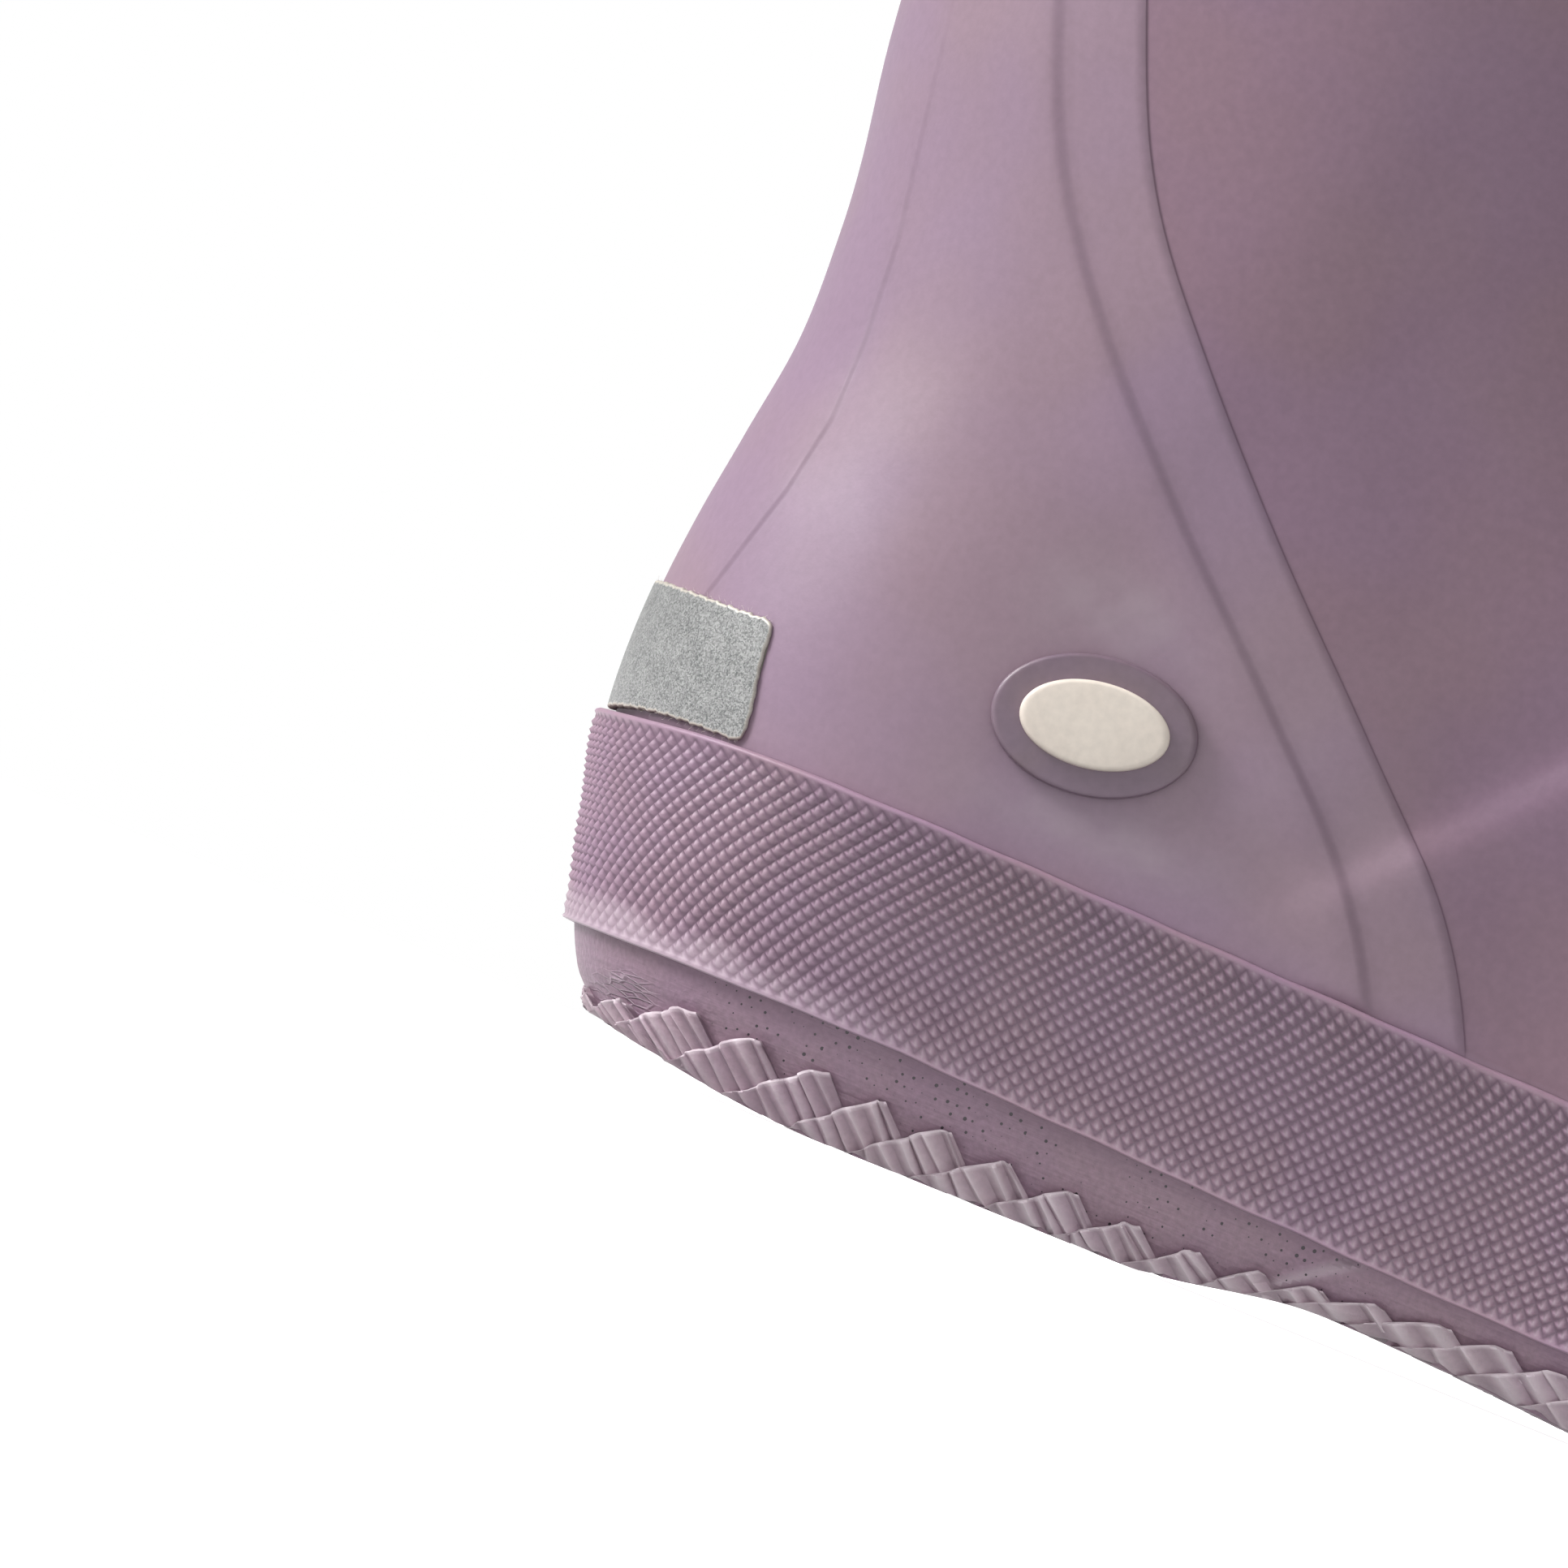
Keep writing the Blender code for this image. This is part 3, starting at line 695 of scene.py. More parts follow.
@dataclass(frozen=True)
class SoleRubber(Rubber):
    """Compression-moulded sole rubber: matt, with gas pinholes and faint flow lines along the mould."""

    hole: str = "#20171F"
    row_mm: float = 1.0  # between the rows of pinholes
    cell_mm: float = 0.95  # between the pinholes of a row
    hole_mm: float = 0.16  # radius of the largest
    hole_depth: float = -12.0  # shares of the grain's height
    sway_mm: float = 9.0  # waves in the rows
    crowd_mm: float = 7.0  # between the places where pinholes crowd
    row_shift: float = 37.7  # keeps one row's pinholes apart from the next one's
    flow_mm: float = 0.45
    flow_height: float = 1.3
    fold_mm: float = 0.55
    fold_at: tuple[float, float, float] = (-0.0805, 0.0, 0.0056)  # the wrinkled spot, in side view
    fold_reach: float = 0.0022
    fold_height: float = 2.0
    fold_pale: float = 0.34

    # Where the pinholes thin out along the boot, at the waist and behind the heel: none, and all.
    HOLE_ENDS = ((-0.012, -0.020), (-0.080, -0.068))
    # Weights that make the wrinkled spot longer than tall.
    FOLD_SPOT = (0.6, 0.0, 1.1)
    # Stretch and slant of the flow lines, and of the wrinkles.
    FLOW = {"Scale": (0.06, 0.06, 1.0), "Rotation": (0.0, math.radians(-2.0), 0.0)}
    FOLD = {"Scale": (0.22, 0.22, 1.2), "Rotation": (0.0, math.radians(-14.0), 0.0)}

    def colour(self, tree: Tree, place: Socket) -> Node:
        """Lay pale wrinkles and dark pinholes over the rubber's colour.

        Args:
            tree: the material's nodes.
            place: the place on the piece.

        Returns:
            The node of the colour.
        """
        body = super().colour(tree, place)
        pale = add_node(tree, "Math", {0: self.folds(tree, place), 1: self.fold_pale}, operation="MULTIPLY")
        for share, tint in ((pale, self.dust_and_painted_highlight), (self.holes(tree, place), self.hole)):
            body = add_node(
                tree, "Mix", {MIX_FACTOR: share, MIX_A: body, MIX_B: srgb(tint)}, data_type="RGBA"
            )
        return body

    def height(self, tree: Tree, place: Socket) -> Node:
        """Add wrinkles, flow lines and sunk pinholes to the grain.

        Args:
            tree: the material's nodes.
            place: the place on the piece.

        Returns:
            The node of the height.
        """
        along = add_node(tree, "Mapping", {"Vector": place, **self.FLOW})
        flow = add_node(tree, "TexNoise", {"Vector": along, "Scale": per_mm(self.flow_mm), "Detail": 2.0})
        total = super().height(tree, place)
        for layer, weight in (
            (self.folds(tree, place), self.fold_height),
            (flow, self.flow_height),
            (self.holes(tree, place), self.hole_depth),
        ):
            total = add_node(tree, "Math", {0: layer, 1: weight, 2: total}, operation="MULTIPLY_ADD")
        return total

    def folds(self, tree: Tree, place: Socket) -> Node:
        """Mask the fine wrinkles that the mould left in one spot behind the heel.

        Args:
            tree: the material's nodes.
            place: the place on the piece.

        Returns:
            The node of the mask.
        """
        spot = add_node(tree, "VectorMath", {0: place, 1: self.fold_at}, operation="SUBTRACT")
        spot = add_node(tree, "VectorMath", {0: spot, 1: self.FOLD_SPOT}, operation="MULTIPLY")
        spot = add_node(tree, "VectorMath", {0: spot}, operation="LENGTH")
        spot = add_node(
            tree, "MapRange",
            {"Value": spot, "From Min": 0.3 * self.fold_reach, "From Max": self.fold_reach,
             "To Min": 1.0, "To Max": 0.0},
            interpolation_type="SMOOTHSTEP",
        )
        along = add_node(tree, "Mapping", {"Vector": place, **self.FOLD})
        ridge = add_node(
            tree, "TexVoronoi", {"Vector": along, "Scale": per_mm(self.fold_mm)}, feature="DISTANCE_TO_EDGE"
        )
        ridge = add_node(
            tree, "MapRange",
            {"Value": ridge, "From Min": 0.01, "From Max": 0.12, "To Min": 1.0, "To Max": 0.0},
        )
        return add_node(tree, "Math", {0: spot, 1: ridge}, operation="MULTIPLY")

    def holes(self, tree: Tree, place: Socket) -> Node:
        """Mask the pinholes, strung out in wavy rows along the heel's and the waist's sides.

        Args:
            tree: the material's nodes.
            place: the place on the piece.

        Returns:
            The node of the mask.
        """
        where = add_node(tree, "SeparateXYZ", {"Vector": place}).outputs
        sway = add_node(tree, "TexNoise", {"Vector": place, "Scale": per_mm(self.sway_mm), "Detail": 1.0})
        level = add_node(
            tree, "Math", {0: where["Z"], 1: per_mm(self.row_mm), 2: sway}, operation="MULTIPLY_ADD"
        )
        row = add_node(tree, "Math", {0: level}, operation="FLOOR")
        apart = add_node(tree, "Math", {0: row, 1: self.row_shift}, operation="MULTIPLY")
        along = add_node(
            tree, "Math", {0: where["X"], 1: per_mm(self.cell_mm), 2: apart}, operation="MULTIPLY_ADD"
        )
        cells = add_node(
            tree, "TexVoronoi", {"W": along, "Scale": 1.0, "Randomness": 0.95}, voronoi_dimensions="1D"
        )
        chosen = add_node(tree, "SeparateColor", {"Color": cells.outputs["Color"]}).outputs
        centre = add_node(tree, "MapRange", {"Value": chosen["Green"], "To Min": 0.3, "To Max": 0.7})
        share = add_node(tree, "Math", {0: level}, operation="FRACT")
        across = add_node(tree, "Math", {0: share, 1: centre}, operation="SUBTRACT")
        sizes = (self.cell_mm, self.row_mm, 0.0)
        away = add_node(tree, "CombineXYZ", {"X": cells, "Y": across})
        away = add_node(tree, "VectorMath", {0: away, 1: sizes}, operation="MULTIPLY")
        away = add_node(tree, "VectorMath", {0: away}, operation="LENGTH")
        crowd = add_node(tree, "TexNoise", {"Vector": place, "Scale": per_mm(self.crowd_mm), "Detail": 1.0})
        chance = add_node(tree, "Math", {0: crowd, 1: 1.4, 2: chosen["Red"]}, operation="MULTIPLY_ADD")
        radius = add_node(
            tree, "MapRange",
            {"Value": chance, "From Min": 0.98, "From Max": 1.75, "To Min": 0.0, "To Max": self.hole_mm},
        )
        for none, full in self.HOLE_ENDS:
            zone = add_node(tree, "MapRange", {"Value": where["X"], "From Min": none, "From Max": full})
            radius = add_node(tree, "Math", {0: radius, 1: zone}, operation="MULTIPLY")
        return add_node(tree, "Math", {0: away, 1: radius}, operation="LESS_THAN")


@dataclass(frozen=True)
class Fabric:
    """Base of the textile finishes: two shades with a thread pattern in their bump."""

    name: str
    light: str
    dark: str
    roughness: float


@dataclass(frozen=True)
class BeadFabric(Fabric):
    """Glass-bead reflective fabric: tiny beads in a grey binder, so it glitters in fine grains."""

    thread: str = "#CFC8BC"  # colour of the woven backing at its cut edges
    bead_mm: float = 0.13
    bead_height: float = 0.05
    rub_mm: float = 2.4
    metallic: float = 0.25

    def build(self) -> bpy.types.Material:
        """Make the material.

        Returns:
            The material, with its beads in colour and bump.
        """
        material, tree, shader = new_material(self.name)
        place = add_node(tree, "TexCoord").outputs["Object"]
        beads = add_node(tree, "TexVoronoi", {"Vector": place, "Scale": per_mm(self.bead_mm)})
        glint = add_node(tree, "SeparateColor", {"Color": beads.outputs["Color"]}).outputs["Red"]
        rub = add_node(
            tree, "TexNoise",
            {"Vector": place, "Scale": per_mm(self.rub_mm), "Detail": 4.0, "Roughness": 0.65},
        )
        tone = add_node(tree, "Math", {0: glint, 1: 1.4, 2: rub}, operation="MULTIPLY_ADD")
        tone = add_node(tree, "MapRange", {"Value": tone, "From Min": 0.45, "From Max": 1.95})
        edge = add_node(tree, "Attribute", attribute_name="edge").outputs["Fac"]
        face = srgb(self.dark)
        for share, tint in ((tone, self.light), (edge, self.thread)):
            face = add_node(
                tree, "Mix", {MIX_FACTOR: share, MIX_A: face, MIX_B: srgb(tint)}, data_type="RGBA"
            )
        bump = add_node(tree, "Bump", {"Height": tone, "Distance": self.bead_height * MM, "Strength": 0.7})
        feed(
            shader,
            {"Base Color": face, "Normal": bump, "Roughness": self.roughness, "Metallic": self.metallic},
        )
        return material


@dataclass(frozen=True)
class Knit(Fabric):
    """Cotton jersey: rows of small loops that catch no gloss."""

    wale_mm: float = 1.1
    loop_height: float = 0.25
    sheen: float = 0.2

    # Direction, waves to a wale and unevenness of its wales and its courses.
    WAVES = (("X", 0.31, 0.6), ("Y", 0.42, 0.9))

    def build(self) -> bpy.types.Material:
        """Make the material.

        Returns:
            The material, with its loops in colour and bump on the piece's own UV map, in mm.
        """
        material, tree, shader = new_material(self.name)
        place = add_node(tree, "UVMap", uv_map="UVMap")
        wales, courses = (
            add_node(
                tree, "TexWave",
                {"Vector": place, "Scale": waves / self.wale_mm, "Distortion": bent, "Detail": 1.0},
                bands_direction=direction,
            ).outputs["Fac"]
            for direction, waves, bent in self.WAVES
        )
        loops = add_node(tree, "Math", {0: wales, 1: courses}, operation="MULTIPLY")
        shades = {MIX_A: srgb(self.dark), MIX_B: srgb(self.light)}
        face = add_node(tree, "Mix", {MIX_FACTOR: loops, **shades}, data_type="RGBA")
        bump = add_node(tree, "Bump", {"Height": loops, "Distance": self.loop_height * MM, "Strength": 0.8})
        feed(
            shader,
            {"Base Color": face, "Normal": bump, "Roughness": self.roughness, "Sheen Weight": self.sheen},
        )
        return material


UPPER_RUBBER = Rubber("satin_dipped_natural_rubber", "#8E7583", "#8D7489", roughness=0.5)
BAND_RUBBER = Rubber(
    "knurled_rolled_natural_rubber", "#9B7E8E", "#997C92", roughness=0.5, bloom_mm=14.0, grain_height=0.01
)
TREAD_RUBBER = SoleRubber(
    "matt_moulded_sole_rubber", "#846C79", "#82697A", roughness=0.55, bloom_mm=12.0, mottle=0.12,
    mottle_mm=0.5, grain_mm=0.6, grain_height=0.1, grain_detail=5.0
)
# A lighter copy of the sole's rubber: the teeth are painted lighter to stand in for the light on them.
PAINTED_LIGHT_TOOTH_RUBBER = Rubber(
    "tooth_rubber_painted_lighter", "#9C848F", "#9A8190", seam="#604C5A", dust_and_painted_highlight="#CFC2C9", roughness=0.52,
    bloom_mm=10.0, mottle=0.13, mottle_mm=0.7, grain_mm=0.8, grain_height=0.15, grain_detail=5.0
)
PLATE_RUBBER = Rubber("smooth_moulded_badge_rubber", "#78646E", "#776373", roughness=0.42, bloom_mm=8.0)
CREAM_RUBBER = Rubber(
    "smooth_cream_moulded_rubber", "#EADFD3", "#E8DCD0", seam="#B9A99A", roughness=0.45, bloom_mm=6.0
)
BEADS = BeadFabric("glass_bead_reflective_fabric", "#A5A5A4", "#5C5E5E", roughness=0.45)
LINING = Knit("cotton_jersey_lining", "#CFC6BF", "#A79C96", roughness=0.9)
INSOLE_KNIT = Knit("brushed_knit_insole_cover", "#BDB4AD", "#948A85", roughness=0.95, wale_mm=1.5)


@dataclass(frozen=True)
class UpperRow:
    """One ring of the upper's wall."""

    level: float
    offset: float
    raised: float = 0.0  # share of the strip's step that it shows
    worked: float = 0.0  # share of the creases and waves that it shows


@dataclass
class Upper:
    """Foot and shaft in one hollow wall, with raised side strips, a collar band and a knit lining."""

    wall: float = 2.0
    foot_level: float = 12.6
    foxing_top: float = 27.9
    ankle_level: float = 72.0
    collar_level: float = 195.0
    collar_band: float = 6.0
    collar_step: float = 0.7
    collar_round: float = 0.8
    strip_step: float = 0.15
    strip_soft: float = 1.6
    strip_cut: float = 0.12
    strip_line: float = 0.3  # width of the painted shade line along its front edge
    lap_step: float = 0.42  # how far the quarter swells where it laps the strip
    lap_reach: float = 7.0
    cut_painted_shade: float = 0.38  # darkness and width of the painted shade line in the strip's cut edge
    cut_width: float = 0.14
    lap_dark: float = 0.28  # the same of the shade beside the lap, and how far in it lies
    lap_width: float = 0.75
    lap_shade: float = 0.9
    stay_step: float = 0.2  # how far the backstay stands out
    stay_edge: float = 0.7
    # Painted shade along the backstay's edge: how dark and how wide.
    stay_painted_shade: float = 0.08
    stay_width: float = 0.3
    stay_top: float = 100.0  # level at which it has run out, and how long that takes
    stay_fade: float = 30.0
    crevice_painted_shade: float = 0.75  # painted shade where the heel's back meets the band: how dark, tall and long
    crevice_tall: float = 0.6
    crevice_to: float = 16.0
    crevice_fade: float = 10.0
    crowding: float = 0.07
    hidden_rows: int = 6
    foot_rows: int = 64
    shaft_rows: int = 56
    shaft_crowding: float = 1.2
    rim_rows: int = 11
    inner_rows: int = 48
    shown_from: float = 0.5  # how far above the band its shown rows start
    foot_fade: float = 4.0  # how far above the band the creases and waves reach their full height
    band_fade: float = 12.0  # how far below the collar's band they fade out
    lining_from: float = 3.0  # how far below the rim the lining starts
    wave: float = 0.12  # slow unevenness of the hand-laid rubber
    instep_from: float = 0.55  # share of a crease from which it softens and fades towards the instep
    instep_fade: float = 0.85
    crease_start: float = 0.35  # share of a crease over which it grows from its faint end
    crease_sharp: float = 1.7  # width of its turn from ridge to trough
    crease_soften: float = 3.3  # how much wider that is at the instep
    scuff_grain: float = 7.0  # how large the uneven places in the dust are, and how uneven
    scuff_uneven: float = 0.5

    # Columns of one side: back, backstay's edge, quarter, lap, strip, cut, line and front.
    COLUMNS = (9, 6, 33, 9, 7, 3, 2, 74)
    # Heights, and how far forward the backstay's edge lies at each.
    STAY = (
        (36.0, 41.0, 49.0, 56.0, 63.0, 72.0, 100.0, 130.0, 200.0),
        (4.0, 5.4, 7.7, 8.9, 9.0, 8.4, 4.0, 1.0, -1.5),
    )
    # Share, length and shift of each of the rubber's waves.
    WAVES = ((1.0, 60.0, 0.4), (0.4, 23.0, 1.7))

    def half_columns(self, level: float, side: Side) -> list[np.ndarray]:
        """Columns of one side from back to front.

        Args:
            level: the ring's level.
            side: the side of the foot.

        Returns:
            The angles, and at each how far the panels stand out, how dark the painted shade at the panels'
            edges is and whether the front panel is there.
        """
        points = LAST.skin(level, -side.value * HALF_TURN)
        lengths = arc_lengths(points)
        x, z = points[:, 0], points[:, 2]
        edges = blend(np.array([row.height for row in STRIP]), [row[1:] for row in STRIP], z)
        stay = np.interp(0, x - np.interp(z, *self.STAY), lengths)
        rear = np.interp(0, x - edges[:, 0], lengths) - self.strip_soft / 2
        front = np.interp(0, x - edges[:, 1], lengths)
        foot = front + self.strip_cut
        ends = (0.0, stay, stay + self.stay_edge, rear, rear + self.strip_soft, front, foot,
                foot + self.strip_line, lengths[-1])
        stops = [np.zeros(1)]
        for start, end, count in zip(ends, ends[1:], self.COLUMNS):
            stops.append(start + (end - start) * np.arange(1, count + 1) / count)
        ahead = np.linspace(0, 1, self.COLUMNS[-1] + 1)[1:]
        stops[-1] = stops[-1] + (lengths[-1] - foot) * self.crowding * np.sin(math.pi * ahead)
        stops = np.concatenate(stops)
        shown = ease((self.stay_top - level) / self.stay_fade)
        steps = self.stay_step * shown * ease((stay - stops) / self.stay_edge + 1)
        lap = ease((stops - rear) / self.strip_soft)
        steps += self.lap_step * ease((stops - rear) / self.lap_reach + 1) * (1 - lap)
        steps += self.strip_step * lap * np.clip((foot - stops) / self.strip_cut, 0, 1)
        # Painted shade: a thin line in the strip's cut edge, a soft band beside the lap, a faint line by the
        # backstay.
        painted_shades = np.zeros(len(stops))
        for dark, middle, width in (
            (self.cut_painted_shade, foot, self.cut_width),
            (self.lap_dark, rear + self.lap_shade, self.lap_width),
            (self.stay_painted_shade * shown, stay + self.stay_edge / 2, self.stay_width),
        ):
            painted_shades += dark * np.exp(-((stops - middle) / width) ** 2)
        panel = np.clip((stops - front) / self.strip_cut, 0, 1)
        return [np.interp(stops, lengths, HALF_TURN), steps, painted_shades, panel]

    def ring_columns(self, level: float) -> list[np.ndarray]:
        """Columns of one whole ring, closed on its first.

        Args:
            level: the ring's level.

        Returns:
            What half_columns gives, for both sides.
        """
        outer = self.half_columns(level, Side.OUTER)
        inner = self.half_columns(level, Side.INNER)
        inner[0] = 2 * math.pi - inner[0]
        return [np.concatenate([near, far[-2::-1]]) for near, far in zip(outer, inner)]

    def rows(self) -> list[UpperRow]:
        """Rings of the wall.

        Returns:
            The rings, up its outer face, over the collar, down its inner face and home.
        """
        band_foot = self.collar_level - self.collar_band
        hidden = np.linspace(self.foot_level, self.foxing_top, self.hidden_rows)
        rows = [UpperRow(level, 0.0) for level in hidden]
        shown = self.foxing_top + self.shown_from
        for level in np.linspace(shown, self.ankle_level, self.foot_rows, endpoint=False):
            rows.append(UpperRow(level, 0.0, 1.0, float(ease((level - self.foxing_top) / self.foot_fade))))
        for share in np.linspace(0, 1, self.shaft_rows + 1) ** self.shaft_crowding:
            level = self.ankle_level + share * (band_foot - self.ankle_level)
            rows.append(UpperRow(level, 0.0, 1.0, float(ease((band_foot - level) / self.band_fade))))
        for turn in np.linspace(0.15, 1, 4):
            rows.append(UpperRow(band_foot + self.collar_round * turn, self.collar_step * float(ease(turn))))
        rim_foot = self.collar_level - self.collar_round
        rows.append(UpperRow((band_foot + rim_foot) / 2, self.collar_step))
        thick = self.collar_step + self.wall
        for turn in np.linspace(0, math.pi, self.rim_rows):
            side = self.collar_step - thick / 2 + thick / 2 * math.cos(turn)
            rows.append(UpperRow(rim_foot + self.collar_round * math.sin(turn), side))
        for level in np.linspace(rim_foot - self.lining_from, self.foot_level, self.inner_rows):
            rows.append(UpperRow(level, -self.wall))
        rows.append(rows[0])
        return rows

    def relief(self, points: np.ndarray, angles: np.ndarray) -> np.ndarray:
        """Height of the creases and the rubber's waves.

        Args:
            points: points of the skin.
            angles: their angles.

        Returns:
            How far each stands off the skin.
        """
        total = sum(self.wave * share * ripple(points, length, turn) for share, length, turn in self.WAVES)
        x, z = points[:, 0], points[:, 2]
        outer = np.sin(angles) >= 0
        for crease in CREASES:
            on_side = outer if crease.side is Side.OUTER else ~outer
            total += np.where(on_side, self.crease_height(crease, x, z), 0.0)
        return total

    def crease_height(self, crease: Crease, x: np.ndarray, z: np.ndarray) -> np.ndarray:
        """Height of one crease.

        Args:
            crease: the crease.
            x: how far forward the places lie, in side view.
            z: how high they lie.

        Returns:
            One height for each place.
        """
        line = np.array(crease.line)
        lengths = arc_lengths(line)
        best = np.full(len(x), np.inf)
        across = np.zeros(len(x))
        run = np.zeros(len(x))
        for start, end, base in zip(line, line[1:], lengths):
            step = end - start
            span = np.linalg.norm(step)
            along = ((x - start[0]) * step[0] + (z - start[1]) * step[1]) / span
            away = ((z - start[1]) * step[0] - (x - start[0]) * step[1]) / span
            short = np.clip(along, 0, span) - along
            distance = np.hypot(away, short)
            closer = distance < best
            best = np.where(closer, distance, best)
            across = np.where(closer, np.sign(away) * distance, across)
            run = np.where(closer, base + np.clip(along, 0, span), run)
        share = run / lengths[-1]
        front = ease((share - self.instep_from) / (1 - self.instep_from))
        turn = np.exp(-(across / (self.crease_sharp + self.crease_soften * front)) ** 2)
        ridge = np.where(across < 0, np.exp(-(across / crease.below) ** 2), turn)
        trough = np.where(across < 0, 0.0, np.exp(-(across / crease.above) ** 2) - turn)
        fade = ease(share / self.crease_start) * (1 - self.instep_fade * front)
        return fade * (crease.ridge * ridge - crease.trough * trough)

    def build(self) -> Piece:
        """Lay out the wall, dress it and settle it.

        Returns:
            The upper.
        """
        rows = self.rows()
        points, painted_shades, fronts, dust_and_painted_highlight, lengths = [], [], [], [], []
        for row in rows:
            angles, steps, dark, front = self.ring_columns(row.level)
            skin = LAST.skin(row.level, angles)
            lift = row.offset + row.raised * steps
            if row.worked:
                lift = lift + row.worked * self.relief(skin, angles)
            ring = skin + np.broadcast_to(lift, angles.shape)[:, None] * LAST.normals(row.level, angles)
            points.append(ring)
            # Painted shade low at the heel's back, where the band meets it.
            crevice = ease((self.crevice_to - skin[:, 0]) / self.crevice_fade)
            crevice = self.crevice_painted_shade * (row.level < self.foxing_top + self.crevice_tall) * crevice
            painted_shades.append(np.maximum(row.raised * dark, crevice))
            fronts.append(row.raised * front)
            dust_and_painted_highlight.append(row.worked * self.scuffs(skin))
            lengths.append(arc_lengths(ring))
        points = np.array(points)
        inner = np.array([row.offset < -self.wall / 2 and row.level < self.collar_level - self.lining_from
                          for row in rows])
        slots = np.where(inner[:-1, None] & inner[1:, None], Face.LINING, Face.RUBBER)
        slots = np.broadcast_to(slots, (len(rows) - 1, points.shape[1] - 1))
        heights = np.broadcast_to(points[:, :1, 2], points.shape[:2])
        spread = np.stack([np.array(lengths), heights], axis=-1)
        # The seam mark is painted shade; the dust mark is dry dust.
        marks = {"seam": np.array(painted_shades), "dust_and_painted_highlight": np.array(dust_and_painted_highlight), "panel": np.array(fronts)}
        upper = sheet("dipped_upper", points, marks, slots, spread)
        settle(upper, "upper", UPPER_RUBBER, LINING)
        return upper

    def scuffs(self, points: np.ndarray) -> np.ndarray:
        """Faint dry dust.

        Args:
            points: points of the skin.

        Returns:
            How dusty each is.
        """
        x, z = points[:, 0], points[:, 2]
        dust_and_painted_highlight = np.zeros(len(points))
        for spot in SCUFFS:
            away = ((x - spot.x) / spot.long) ** 2 + ((z - spot.z) / spot.tall) ** 2
            dust_and_painted_highlight += spot.strength * np.exp(-away)
        return dust_and_painted_highlight * (1 + self.scuff_uneven * ripple(points, self.scuff_grain, 0.9))


